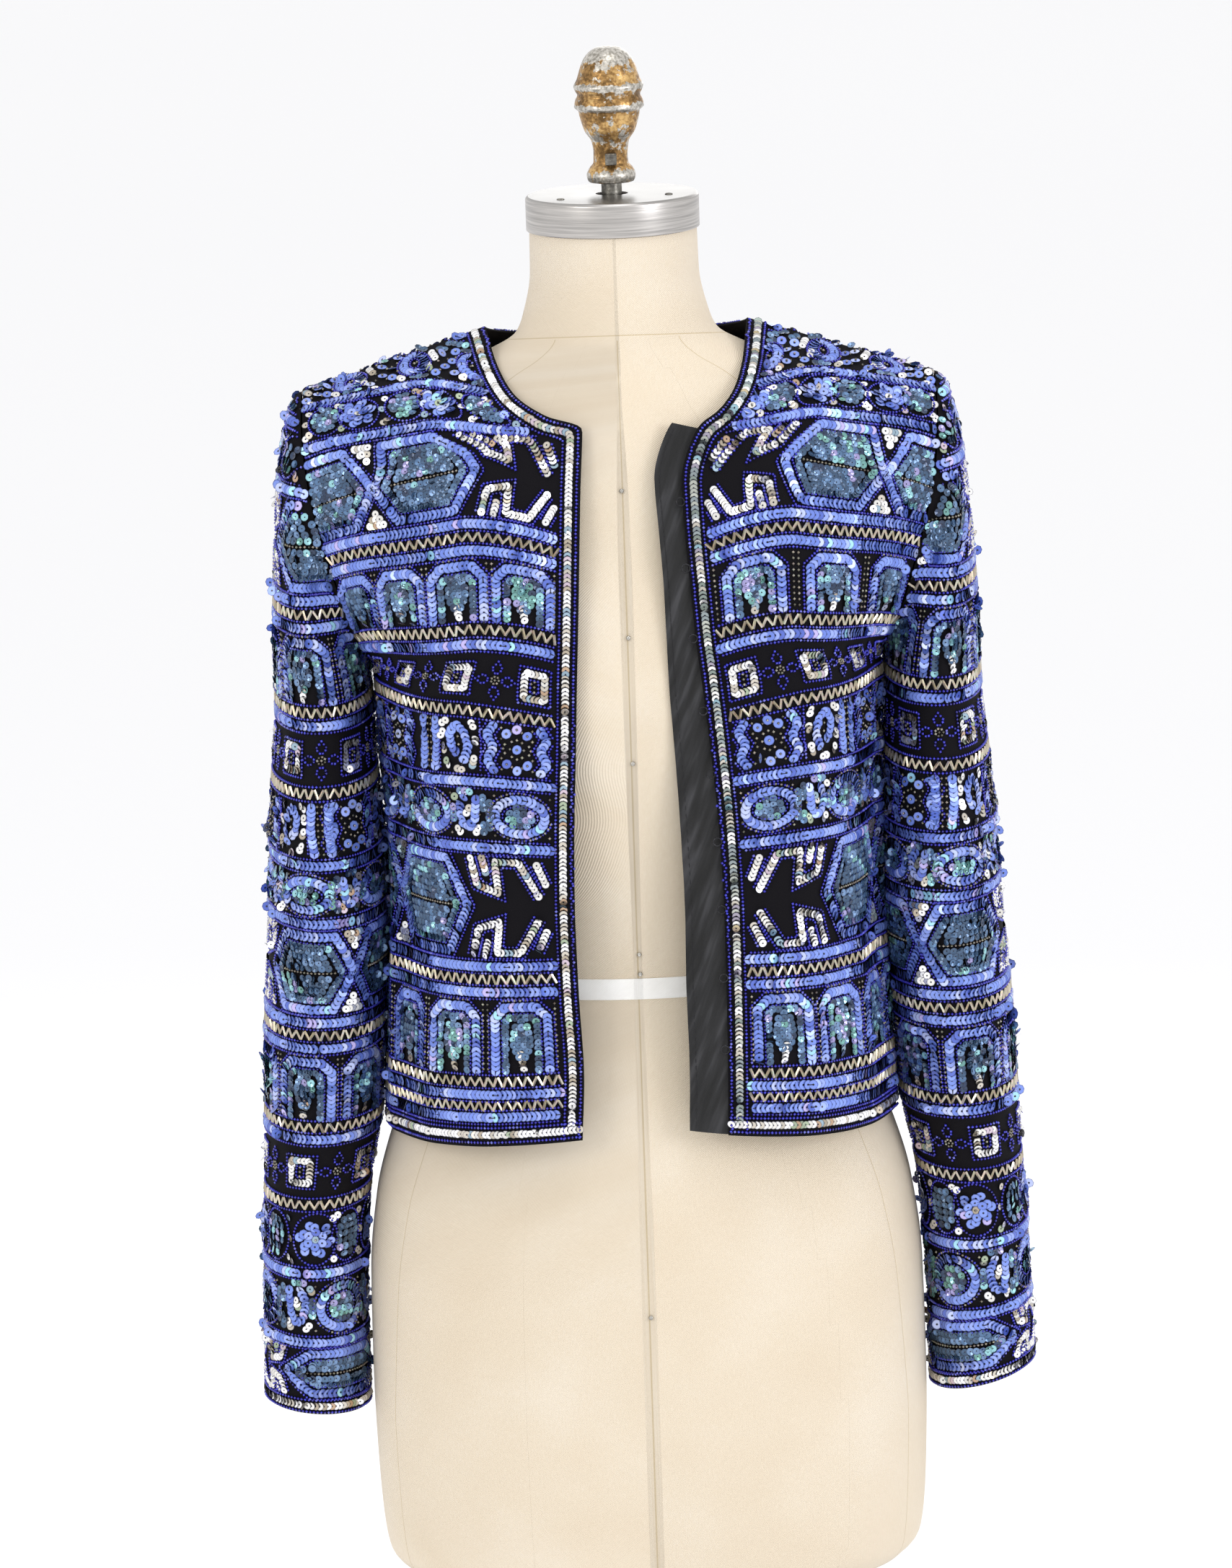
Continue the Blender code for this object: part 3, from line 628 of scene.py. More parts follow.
class Chart:
    """A panel by height V up the cloth, in mm, and share across it. Tables are by level and
    column: points, normals, room left to the top edge, height above the lower edge (low),
    and distance from a bound edge."""

    def __init__(self, points, normals, height, share, drop, closed=False):
        top = height.max(axis=0)
        self.share, self.closed = share, closed
        self.span = share[-1] - share[0] + (share[1] if closed else 0.0)
        self.levels = np.arange(-BELOW_HEM, top.max() + ABOVE_TOP, STEP)
        plain = self.levels[:, None] - drop(self.levels[:, None], share[None, :])
        columns = [[np.interp(plain[:, c], height[:, c], grid[:, c, k]) for k in range(3)]
                   for c in range(len(share)) for grid in (points, normals)]
        both = np.array(columns).reshape(len(share), 2, 3, -1).transpose(1, 3, 0, 2)
        self.points, self.normals = both
        self.room, self.low = top - plain, plain
        ring = [self.points, self.points[:, :1]] if closed else [self.points]
        steps = np.linalg.norm(np.diff(np.concatenate(ring, axis=1), axis=1), axis=2)
        self.run = np.cumsum(np.pad(steps, ((0, 0), (1, 0))), axis=1)
        self.width = self.run[:, -1]
        self.stops = np.append(share, 1.0) if closed else share
        self.edge = np.full(self.room.shape, FAR)

    def at(self, table, share, level):
        """Bilinear value of a table at shares and levels."""
        count = len(self.share)
        r = np.clip((level - self.levels[0]) / STEP, 0, len(self.levels) - 1.001)
        if self.closed:
            c = (share % 1) * count
        else:
            c = (share - self.share[0]) / self.span * (count - 1)
            c = np.clip(c, 0, count - 1.001)
        r0, c0 = r.astype(int), c.astype(int) % count
        c1, fr, fc = (c0 + 1) % count, r - r0, c - c.astype(int)
        if table.ndim == 3:
            fr, fc = fr[:, None], fc[:, None]
        return ((table[r0, c0] * (1 - fc) + table[r0, c1] * fc) * (1 - fr)
                + (table[r0 + 1, c0] * (1 - fc) + table[r0 + 1, c1] * fc) * fr)

    def width_at(self, level):
        """Length of the row at a level, in mm."""
        return np.interp(level, self.levels, self.width)

    def share_at(self, along, level):
        """Share at a distance along the row of a level, both in mm."""
        row = self.run[min(int((level - self.levels[0]) / STEP), len(self.run) - 1)]
        return np.interp(along, row, self.stops)

    def bind(self, line):
        """Fill the edge table with each point's distance from a bound edge."""
        for i, row in enumerate(self.points):
            gap = np.linalg.norm(row[:, None] - line[None], axis=2).min(axis=1)
            self.edge[i] = gap


# %% Dense grids of the panels
ROWS = 301
SLEEVE_COUNTS = (70, 231)
MIDDLE_LEVEL = 200.0
front_place = np.linspace(0, len(FRONT_ROWS) - 1, ROWS)
column, _ = front_points(1, front_place[:, None], np.array([[REFERENCE_SHARE]]))
front_height = arc_length(column)[:, 0]
grids, charts = {}, {}

for side, name in ((-1, "front_right"), (1, "front_left")):
    share = np.linspace(0, 1, FRONT_ACROSS)
    points, down = front_points(side, front_place[:, None], share[None, :])
    height = ridge(FOLDS[name], share[None, :], down)
    points = points + side * grid_normals(points) * height[..., None]
    normals = side * grid_normals(points)
    tall = np.repeat(front_height[:, None], FRONT_ACROSS, axis=1)
    charts[name] = Chart(points, normals, tall, share, bow(True, SIDE_DROP))
    charts[name].bind(points[::2, 0])
    grids[name] = (points, normals, tall, share)

share = np.linspace(-1, 1, BACK_ACROSS)
back_place = np.linspace(0, len(BACK_ROWS) - 1, ROWS)
points, down = back_points(back_place[:, None], share[None, :])
points = points - grid_normals(points) * ridge(FOLDS["back"], share[None, :], down)[..., None]
column, _ = back_points(back_place[:, None], np.array([[REFERENCE_SHARE]]))
# Heights on the back follow the fronts' up to the underarm, so that the bands meet at the
# side seams, and its own cloth above it.
own = arc_length(column)[:, 0]
seam_height = np.interp(back_place, front_place, front_height)
above = own - np.interp(UNDERARM_ROW, back_place, own)
tall = np.where(back_place <= UNDERARM_ROW, seam_height,
                np.interp(UNDERARM_ROW, front_place, front_height) + above)
tall = np.repeat(tall[:, None], BACK_ACROSS, axis=1)
normals = -grid_normals(points)
charts["back"] = Chart(points, normals, tall, share, bow(False, SIDE_DROP))
charts["back"].bind(points[-1, np.abs(share) <= NECK_SHARE])
grids["back"] = (points, normals, tall, share)

for side, name in ((-1, "sleeve_right"), (1, "sleeve_left")):
    points, down = sleeve_points(side, SLEEVE_COUNTS, SLEEVE_ROUND)
    share = np.arange(SLEEVE_ROUND) / SLEEVE_ROUND
    height = ridge(FOLDS["sleeve"], 360 * share[None, :], down, True)
    points = points - side * grid_normals(points, True) * height[..., None]
    normals = -side * grid_normals(points, True)
    # The cuff's edge rises outward, so the cloth below the bend counts to one mean height.
    tall = arc_length(points)
    knee = (down < LIFT_START).argmax(axis=0)
    base = tall[knee, np.arange(SLEEVE_ROUND)]
    level = base.mean()
    tall = np.where(tall < base, tall / base * level, tall - base + level)
    charts[name] = Chart(points, normals, tall, share, bow(False, 0.0), closed=True)
    grids[name] = (points, normals, tall, share)

for name, chart in charts.items():
    wide, top = float(chart.width_at(MIDDLE_LEVEL)), float(chart.levels[-1] - ABOVE_TOP)
    print(name, "width", round(wide), "mm, top", round(top), "mm")

# %% [markdown]
# ## Meshes from arrays
#
# One function turns arrays into a mesh with its millimetre map; another closes a grid of
# outer points with an inner grid, a cloth's thickness away, so that hems and edges show the
# fold of the cloth and not a knife edge.


# %% Mesh helpers
SHARP_ANGLE = math.radians(50)


def build_mesh(name, points, face_sets, material, maps=(), tint=None, flat=False):
    """A piece from points in mm, arrays of faces (one array for each corner count), maps as
    {name: uv per point} and a colour per point."""
    corners = np.concatenate([f.ravel() for f in face_sets])
    sizes = np.concatenate([np.full(len(f), f.shape[1]) for f in face_sets])
    mesh = bpy.data.meshes.new(name)
    mesh.vertices.add(len(points))
    mesh.vertices.foreach_set("co", (np.asarray(points) * MM).astype(np.float32).ravel())
    mesh.loops.add(len(corners))
    mesh.loops.foreach_set("vertex_index", corners.astype(np.int32))
    mesh.polygons.add(len(sizes))
    mesh.polygons.foreach_set(
        "loop_start", np.concatenate([[0], np.cumsum(sizes)[:-1]]).astype(np.int32))
    for key, uv in dict(maps).items():
        layer = mesh.uv_layers.new(name=key)
        layer.data.foreach_set("uv", np.asarray(uv, np.float32)[corners].ravel())
    if tint is not None:
        layer = mesh.attributes.new("tint", "FLOAT_COLOR", "POINT")
        layer.data.foreach_set("color", np.asarray(tint, np.float32).ravel())
    mesh.update(calc_edges=True)
    if flat:
        mesh.shade_flat()
    else:
        mesh.shade_smooth()
        mesh.set_sharp_from_angle(angle=SHARP_ANGLE)
    mesh.materials.append(material)
    piece = bpy.data.objects.new(name, mesh)
    bpy.context.scene.collection.objects.link(piece)
    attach(piece, "root")
    return piece


def grid_faces(rows, columns, closed, start=0, flip=False):
    """Quads of a grid whose points are numbered row by row, as one array."""
    r, c = np.meshgrid(np.arange(rows - 1), np.arange(columns - (not closed)), indexing="ij")
    n = (c + 1) % columns
    quads = np.stack([r * columns + c, r * columns + n, (r + 1) * columns + n,
                      (r + 1) * columns + c], axis=-1).reshape(-1, 4) + start
    return quads[:, ::-1] if flip else quads


def cloth_wall(name, points, normals, uv, material, closed=False, flip=False, wall=WALL):
    """A closed wall of cloth: the outer grid, the same grid moved in, and their rims."""
    rows, columns = points.shape[:2]
    count = rows * columns
    faces = [grid_faces(rows, columns, closed, 0, flip),
             grid_faces(rows, columns, closed, count, not flip)]
    index = np.arange(count).reshape(rows, columns)
    loops = [index[0][::-1], index[-1]]
    if closed:
        loops = [np.append(line, line[0]) for line in loops]
    else:
        loops += [index[:, 0], index[::-1, -1]]
    for line in loops:
        a, b = line[:-1], line[1:]
        rim = np.stack([a, b, b + count, a + count], axis=-1)
        faces.append(rim[:, ::-1] if flip else rim)
    both = np.concatenate([points.reshape(-1, 3), (points - wall * normals).reshape(-1, 3)])
    maps = {"mm": np.concatenate([uv.reshape(-1, 2)] * 2)}
    return build_mesh(name, both, faces, material, maps)


# %% Cloth shells of the jacket
# One row and column in three of the dense grids is enough for the cloth between the beads.
# Three of the grids run the other way round, so that their faces are flipped.
EVERY = 3
FLIPPED = ("front_right", "back", "sleeve_left")
panels = {}
for name, (points, normals, tall, share) in grids.items():
    closed = charts[name].closed
    wide = charts[name].width_at(MIDDLE_LEVEL) / (share[-1] - share[0])
    uv = np.stack([np.broadcast_to(share * wide, tall.shape), tall], axis=-1)
    cut = (slice(None, None, EVERY),) * 2
    panels[name] = cloth_wall(name + "_crepe", points[cut], normals[cut], uv[cut], crepe,
                              closed, name in FLIPPED)
    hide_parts(name)
    print(name, len(panels[name].data.polygons), "faces")

# %% [markdown]
# The underlap is a strip of doubled satin, sewn under the left front. It follows the front's
# own curve past its edge, and its hidden part goes eight millimetres further in.

# %% Satin underlap
LAP_ROWS, LAP_ACROSS = 221, 25
LAP_WALL = 1.0
CRINKLE = 0.25
lap_place = np.linspace(0, NECK_CORNER_ROW, LAP_ROWS)
row = read_rows(FRONT_NAMES, FRONT_ROWS, lap_place)
lap_x = smooth(LAP_EDGE, lap_place)
turn = np.radians(row["turn"])
across = np.linspace(0, 1, LAP_ACROSS)[None, :]
target = lap_x[:, None] + (row["left_edge"] + LAP_UNDER - lap_x)[:, None] * across
sine = (target - row["left_edge"][:, None]) / (row["side_x"] - row["left_edge"])[:, None]
share = np.arcsin(sine * np.sin(turn)[:, None]) / turn[:, None]
points, down = front_points(1, lap_place[:, None], share)
lap_normals = grid_normals(points)
crinkle = CRINKLE * np.sin(target / 3.1 + down / 6.3) * np.sin(down / 11.0 + 1.3)
lap_outer = points - lap_normals * (LAP_DEPTH + CRINKLE - crinkle[..., None])
lap = cloth_wall("underlap_satin", lap_outer, lap_normals, np.stack([target, down], axis=-1),
                 satin, wall=LAP_WALL)
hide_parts("underlap")
print("underlap", len(lap.data.polygons), "faces")

# %% [markdown]
# ## The dress form
#
# Papier-mache under linen: level sections, each made of two half ovals, joined smoothly. The
# linen is cut in princess panels, so seams run down from the shoulders, and one seam rings
# the base of the neck. Along a seam the cloth dips and is a little darker.

# %% Table of the form
FORM_NAMES = ("down", "half_width", "front", "back", "squareness")
FORM_ROWS = (
    (20.3, 49.0, 49.0, 49.0, 2.0),
    (45, 49.5, 49.5, 49.5, 2.0),
    (66, 53.5, 52.0, 51.5, 2.0),
    (80, 59.0, 54.0, 51.5, 2.0),
    (90, 75.0, 57.0, 54.2, 2.0),
    (100, 106.0, 63.0, 58.6, 1.8),
    (113, 136.0, 74.0, 66.6, 1.7),
    (132, 158.0, 85.0, 78.0, 1.85),
    (158, 165.0, 93.0, 87.5, 2.0),
    (195, 162.0, 101.0, 93.0, 2.1),
    (235, 152.0, 109.0, 95.0, 2.15),
    (275, 145.0, 111.0, 93.0, 2.15),
    (315, 137.0, 106.0, 88.0, 2.15),
    (362, 123.0, 95.0, 79.0, 2.15),
    (410, 115.5, 87.0, 72.0, 2.1),
    (458, 114.0, 84.0, 70.0, 2.1),
    (500, 129.0, 89.0, 80.0, 2.1),
    (548, 146.5, 98.0, 95.0, 2.1),
    (600, 161.5, 105.0, 110.0, 2.15),
    (650, 167.0, 108.0, 120.0, 2.15),
    (720, 168.0, 108.0, 124.0, 2.15),
    (790, 166.0, 105.0, 122.0, 2.15),
    (822, 162.0, 101.0, 118.0, 2.15),
    (834, 152.0, 91.0, 108.0, 2.15),
)

# %% Linen torso
FORM_TALL, FORM_ROUND = 330, 160
NECK_ROWS, NECK_END = 90, 130.0
# The long seams lean over between this height and so much farther down. Each has its angle
# at both ends, in degrees from the centre front.
SEAM_START, SEAM_TALL = 90.0, 640.0
SEAM_LINES = ((0, 0), (38, 66), (-38, -66), (98, 98), (-98, -98), (142, 132), (-142, -132),
              (180, 180))
NECK_SEAM, NECK_SEAM_TILT, NECK_SEAM_LAP = 84.0, 8.0, 6.0
NO_SEAM = 60.0
plain = [r[0] for r in FORM_ROWS]
form_down = np.concatenate([np.linspace(plain[0], NECK_END, NECK_ROWS, endpoint=False),
                            np.linspace(NECK_END, plain[-1], FORM_TALL - NECK_ROWS)])
place = np.interp(form_down, plain, np.arange(len(plain)))
row = read_rows(FORM_NAMES, FORM_ROWS, place)
# Newton's steps find the row that lies at each height.
for _ in range(4):
    found = smooth(plain, place)
    place = place + (form_down - found) / np.gradient(found, place)
row = read_rows(FORM_NAMES, FORM_ROWS, place)
angle = (np.arange(FORM_ROUND) + 0.5) * 2 * math.pi / FORM_ROUND
power = 2 / row["squareness"][:, None]
x = np.sign(np.sin(angle)) * np.abs(np.sin(angle)) ** power
y = -np.sign(np.cos(angle)) * np.abs(np.cos(angle)) ** power
depth = np.where(y < 0, row["front"][:, None], row["back"][:, None])
points = np.stack([row["half_width"][:, None] * x, depth * y,
                   CAP_TOP - form_down[:, None] + 0 * depth], axis=-1)
around = np.linalg.norm(np.diff(points, axis=1, append=points[:, :1]), axis=2)
girth = np.concatenate([np.zeros((len(points), 1)), np.cumsum(around, axis=1)[:, :-1]], axis=1)
degrees = np.degrees(angle)[None, :]
whole = around.sum(axis=1, keepdims=True)
seam = np.full(girth.shape, NO_SEAM)
along_seam = np.clip((form_down[:, None] - SEAM_START) / SEAM_TALL, 0, 1)
for low, high in SEAM_LINES:
    line = low + (high - low) * along_seam
    off = ((degrees - line + 180) % 360 - 180) / 360 * whole
    seam = np.where(np.abs(off) < np.abs(seam), off, seam)
seam = np.where(form_down[:, None] > NECK_SEAM - NECK_SEAM_LAP, seam, NO_SEAM)
ring_seam = form_down[:, None] - NECK_SEAM + NECK_SEAM_TILT * np.cos(angle)
uv = np.stack([girth, -form_down[:, None] + 0 * girth], axis=-1)
seam_uv = np.stack([seam, ring_seam], axis=-1)
form_points = points
top_end = np.arange(FORM_ROUND)[None]
low_end = top_end[:, ::-1] + (FORM_TALL - 1) * FORM_ROUND
faces = [grid_faces(FORM_TALL, FORM_ROUND, True, 0, True), top_end, low_end]
torso = build_mesh("torso_linen", points.reshape(-1, 3), faces, linen,
                   {"mm": uv.reshape(-1, 2), "seam": seam_uv.reshape(-1, 2)})
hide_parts("form_torso")
print("torso", len(torso.data.polygons), "faces")


def on_form(x, down):
    """Point on the form's front at a sideways place and a height."""
    line = form_points[int(np.abs(form_down - down).argmin())]
    line = line[line[:, 1] < 0]
    order = np.argsort(line[:, 0])
    return np.array([x, np.interp(x, line[order, 0], line[order, 1]), CAP_TOP - down])


# %% [markdown]
# A white cotton tape marks the waist. It is a flat ribbon laid on the linen.

# %% Waist tape
TAPE_DOWN, TAPE_TALL = 458.0, 12.5
TAPE_OFF, TAPE_WALL = 0.9, 0.7
NECK_TO_WAIST = 1.9
tape_offsets = np.array([-TAPE_TALL / 2, 0, TAPE_TALL / 2])
bands = []
for offset in tape_offsets:
    at = int(np.abs(form_down - TAPE_DOWN - offset).argmin())
    line = form_points[at].copy()
    line[:, 2] = CAP_TOP - TAPE_DOWN - offset
    bands.append(line)
tape = np.stack(bands)
tape_normals = -grid_normals(tape, True)
tape_uv = np.stack(np.broadcast_arrays(girth[0] * NECK_TO_WAIST,
                                       tape_offsets[:, None] + TAPE_TALL / 2), axis=-1)
waist = cloth_wall("waist_tape", tape + tape_normals * TAPE_OFF, tape_normals, tape_uv,
                   tape_cloth, True, True, TAPE_WALL)
print("tape", len(waist.data.polygons), "faces")

# %% [markdown]
# ## Turned pieces
#
# The lathe helper carries a profile round the Z axis, and a second one first rounds the
# profile's corners, as a file would.


# %% Lathe helpers
AXIS_RADIUS = 0.02
# An arc takes at most a side's length divided by this number.
SIDE_PARTS = 2.2


def turned(name, profile, lift, material, node, sides=96, closed=False, rub=None):
    """A piece turned on a lathe: its (radius, height) profile carried round the Z axis. Ends
    on the axis close with a tiny ring. Rub is the wear of each point of the profile."""
    profile = np.array([(max(r, AXIS_RADIUS), z + lift) for r, z in profile])
    if closed:
        profile = np.concatenate([profile, profile[:1]])
    angle = np.arange(sides) * 2 * math.pi / sides
    points = np.stack([profile[:, :1] * np.cos(angle), profile[:, :1] * np.sin(angle),
                       np.repeat(profile[:, 1:], sides, axis=1)], axis=-1)
    faces = [grid_faces(len(profile), sides, True)]
    if not closed:
        faces += [np.arange(sides)[None, ::-1],
                  np.arange(sides)[None] + (len(profile) - 1) * sides]
    maps = {}
    if rub is not None:
        maps["rub"] = np.repeat(np.stack([rub, rub], axis=-1), sides, axis=0)
    piece = build_mesh(name, points.reshape(-1, 3), faces, material, maps)
    if node:
        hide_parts(node)
    return piece


def round_off(profile, radius=0.8, steps=3):
    """Replace each sharp corner of a profile with a small arc of a quadratic curve."""
    profile = np.asarray(profile, float)
    out = [profile[0]]
    for a, b, c in zip(profile, profile[1:], profile[2:]):
        r = min(radius, np.linalg.norm(b - a) / SIDE_PARTS, np.linalg.norm(c - b) / SIDE_PARTS)
        p = b + (a - b) / np.linalg.norm(a - b) * r
        q = b + (c - b) / np.linalg.norm(c - b) * r
        for t in np.linspace(0, 1, steps + 1):
            out.append(p * (1 - t) ** 2 + b * 2 * t * (1 - t) + q * t * t)
    return np.array(out + [profile[-1]])


# %% [markdown]
# The cap is a turned disc screwed onto the neck. A steel stem comes up through it, and the
# finial, cast in one with its waist and knob, is held on the stem by a square-headed screw.
# Below the torso a plain pole stands in a plain round base. A steel pin head marks the
# form's centre line at each measured height.

# %% Profiles of the turned pieces
CAP_PROFILE = (
    (9.5, -20.0), (50.75, -20.0), (50.75, -1.4), (49.4, 0.0), (9.5, 0.0),
)
STEM_PROFILE = ((0, -20.0), (6.0, -20.0), (6.0, 6.7), (0, 6.7))
FINIAL_PROFILE = (
    (0, 7.0), (12.6, 7.0), (14.35, 11.0), (12.8, 15.0), (10.2, 18.5), (10.0, 24.0),
    (10.9, 30.5), (14.8, 37.0), (17.5, 46.0), (17.9, 48.4), (20.35, 51.0), (19.6, 55.0),
    (18.35, 57.8), (19.6, 60.4), (20.35, 63.0), (18.4, 67.0), (16.5, 73.0), (14.2, 78.5),
    (10.4, 83.0), (5.6, 85.4), (0, 86.0),
)
# Height, width and amount of the wear round the finial's top, beads, waist and foot.
FINIAL_WEAR = ((86, 9, 0.95), (63, 1.7, 1.2), (51, 1.7, 1.2), (33, 7, 0.35), (10, 4, 0.7))
FINIAL_STEPS = 101
POLE_PROFILE = ((0, 16.3), (14.0, 16.3), (14.0, 419.7), (0, 419.7))
BASE_PROFILE = (
    (0, 0.0), (197.0, 0.0), (200.0, 3.0), (200.0, 8.0), (196.0, 11.0), (70.0, 19.0),
    (31.0, 23.0), (27.0, 28.0), (27.0, 60.0), (25.0, 62.0), (14.3, 62.0), (14.3, 16.0),
    (0, 16.0),
)
SCREW_PROFILE = ((0, -0.6), (2.3, -0.6), (2.3, 0.5), (1.2, 0.9), (0, 0.95))
SCREW_PLACES = ((-30.0, -22.0), (33.0, -14.0))
PIN_PROFILE = ((0, -1.0), (0.7, -0.6), (1.4, 0.1), (1.3, 0.6), (0.7, 0.95), (0, 1.0))
PIN_PLACES = ((-0.5, 160), (0.6, 243), (0.8, 318), (1.0, 437), (1.2, 449), (0.9, 652))
PIN_PROUD = 0.7

# %% Cap, finial and stand
turned("cap_disc", round_off(CAP_PROFILE, 0.5), CAP_TOP, brushed, "neck_cap",
       closed=True)
turned("stem_rod", STEM_PROFILE, CAP_TOP, steel, "finial_stem", 32)
radii, heights = np.array(FINIAL_PROFILE).T
fine = np.linspace(0, len(radii) - 1, FINIAL_STEPS)
fine_finial = np.stack([smooth(radii, fine), smooth(heights, fine)], axis=-1)
wear = sum(amount * np.exp(-((fine_finial[:, 1] - at) / wide) ** 2)
           for at, wide, amount in FINIAL_WEAR)
turned("finial_casting", fine_finial, CAP_TOP, gold_paint, "finial", rub=wear)
turned("pole_tube", round_off(POLE_PROFILE), 0, dark_steel, "stand_pole", 64)
turned("base_disc", round_off(BASE_PROFILE, 1.2), 0, dark_steel, "stand_base",
       128)

screw_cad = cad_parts["finial_set_screw"]
for index in range(len(screw_cad.data.materials)):
    screw_cad.data.materials[index] = steel
print("cap, finial and stand done")

# %% Screws and pins
for index, (x, y) in enumerate(SCREW_PLACES):
    head = turned(f"cap_screw_{index + 1}", round_off(SCREW_PROFILE, 0.3), CAP_TOP, steel,
                  None, 24)
    head.data.transform(Matrix.Translation((x * MM, y * MM, 0)))

for index, (x, down) in enumerate(PIN_PLACES):
    pin = turned(f"front_pin_{index + 1}", PIN_PROFILE, 0, pin_metal, None, 20)
    x, y, z = on_form(x, down)
    pin.data.transform(Matrix.Translation((x * MM, (y - PIN_PROUD) * MM, z * MM))
                       @ Matrix.Rotation(math.pi / 2, 4, "X"))
print(len(SCREW_PLACES), "cap screws and", len(PIN_PLACES), "pins")

# %% [markdown]
# ## Floor
#
# A pale seamless floor runs out of sight in every direction.

# %% Stage
HALF_FLOOR = 40.0
paper, node, drive = new_material("seamless floor", Roughness=0.95)
mottle = noise(node, node("TexCoord").outputs["Object"], 0.12, 1.0)
drive("Base Color", ramp(node, mottle, (0.0, "F8F8F9"), (1.0, "FDFDFD")))
corners = [(x * HALF_FLOOR, y * HALF_FLOOR, 0) for x, y in ((-1, -1), (1, -1), (1, 1), (-1, 1))]
mesh = bpy.data.meshes.new("floor")
mesh.from_pydata(corners, [], [(0, 1, 2, 3)])
mesh.materials.append(paper)
floor = bpy.data.objects.new("floor", mesh)
bpy.context.scene.collection.objects.link(floor)
print("floor", 2 * HALF_FLOOR, "m wide")

# %% [markdown]
# ## Sequins and beads
#
# Flat periwinkle and silver sequins overlap like fish scales along a thread, so each one
# leans on the next. Teal cup sequins are pressed into little bowls. Seed beads are dark royal
# blue, or grey with a silver lining, and the bugles are thin champagne tubes. Short black
# stitches show where a thread ends or turns. Sizes, pitches and leans are those of the real
# goods. Colours vary piece by piece, partly because the lacquer does and partly as painted
# glints and painted reflections, for the bright and dark parts of the room that each tilted
# piece mirrors.

# %% Kinds of beads
# Radius and lift off the cloth in mm, width as a part of the radius, lean on the neighbour
# and its random spread in degrees.
KIND_NAMES = ("slot", "shape", "radius", "width", "lean", "lift", "jitter")
KINDS = {
    "blue": ("periwinkle_sequins", "flat", 3.05, 1.0, 17, 1.2, 8),
    "silver": ("silver_sequins", "flat", 2.45, 1.0, 16, 1.05, 9),
    "edge": ("silver_sequins", "flat", 2.45, 1.0, 16, 1.05, 9),
    "teal": ("teal_sequins", "cup", 2.5, 1.0, 9, 0.9, 9),
    "navy": ("navy_beads", "bead", 1.04, 0.98, 0, 0.95, 0),
    "grey": ("grey_beads", "bead", 1.08, 0.98, 0, 1.05, 0),
    "top": ("grey_beads", "bead", 0.95, 1.0, 0, 1.9, 0),
    "bugle": ("bugle_beads", "tube", 3.05, 0.27, 0, 0.95, 5),
    "thread": ("black_thread", "tube", 1.75, 0.15, 0, 1.95, 0),
}
# The colours of the pieces of one kind, each with its weight in the mix. The pale, cyan and
# lilac ones are painted glints, and the grey and brownish silvers are painted reflections of
# darker parts of the room.
TINTS_AND_GLINTS = {
    "blue": (("7C95E6", 34), ("6B84DA", 22), ("94A8EF", 23), ("566CC8", 9), ("BECAF6", 7),
             ("C0B5EE", 2), ("A6DEF3", 3)),
    "silver": (("FCFBFA", 40), ("E8E6E1", 24), ("CFC8BC", 16), ("B3A897", 9), ("C2A68C", 3),
               ("CFBECB", 3), ("A9B79E", 4), ("9DB4C4", 7)),
    "teal": (("3E5876", 25), ("54749A", 24), ("7190B8", 17), ("2B3C58", 12), ("98D0D8", 8),
             ("A09ACC", 6), ("6FA39E", 8)),
    "navy": (("322FBC", 44), ("4245DC", 30), ("201D8C", 16), ("7C80EE", 10)),
    "edge": (("939DA0", 22), ("BBBFB6", 18), ("88938D", 12), ("A39DAC", 8), ("F1F0EC", 20),
             ("C8C2B6", 14), ("8FB0BC", 4), ("C4B694", 2)),
    "grey": (("8E887A", 46), ("B4AE9F", 30), ("5E594E", 24)),
    "top": (("BDB8AC", 50), ("857F72", 50)),
    "bugle": (("CFC4B0", 50), ("B5A88E", 30), ("E6DECD", 20)),
    "thread": (("0D0D0E", 50), ("18181A", 50)),
}
DISC_SIDES = 8
CUP_DEPTH = 0.3
GRAIN_HEIGHT = 0.95


def unit_shape(shape):
    """Points and faces of one bead with radius 1, lying on z = 0 with its thread along x."""
    turn = np.arange(DISC_SIDES) * 2 * math.pi / DISC_SIDES
    ring = np.stack([np.cos(turn), np.sin(turn), 0 * turn], axis=-1)
    if shape == "flat":
        return ring, np.arange(DISC_SIDES)[None]
    if shape == "cup":
        points = np.concatenate([ring + (0, 0, CUP_DEPTH), [[0, 0, 0]]])
        return points, np.array([(i, (i + 1) % DISC_SIDES, DISC_SIDES)
                                 for i in range(DISC_SIDES)])
    if shape == "bead":
        points = np.array([(1, 0, 0), (-1, 0, 0), (0, 1, 0), (0, -1, 0), (0, 0, GRAIN_HEIGHT),
                           (0, 0, -GRAIN_HEIGHT)])
        return points, np.array([(0, 2, 4), (2, 1, 4), (1, 3, 4), (3, 0, 4),
                                 (2, 0, 5), (1, 2, 5), (3, 1, 5), (0, 3, 5)])
    side = np.array([(0, 1, 0), (0, 0, 1), (0, -1, 0), (0, 0, -1)], float)
    points = np.concatenate([side - (1, 0, 0), side + (1, 0, 0)])
    return points, np.array([((i + 1) % 4, (i + 1) % 4 + 4, i + 4, i) for i in range(4)]
                            + [(3, 2, 1, 0), (4, 5, 6, 7)])


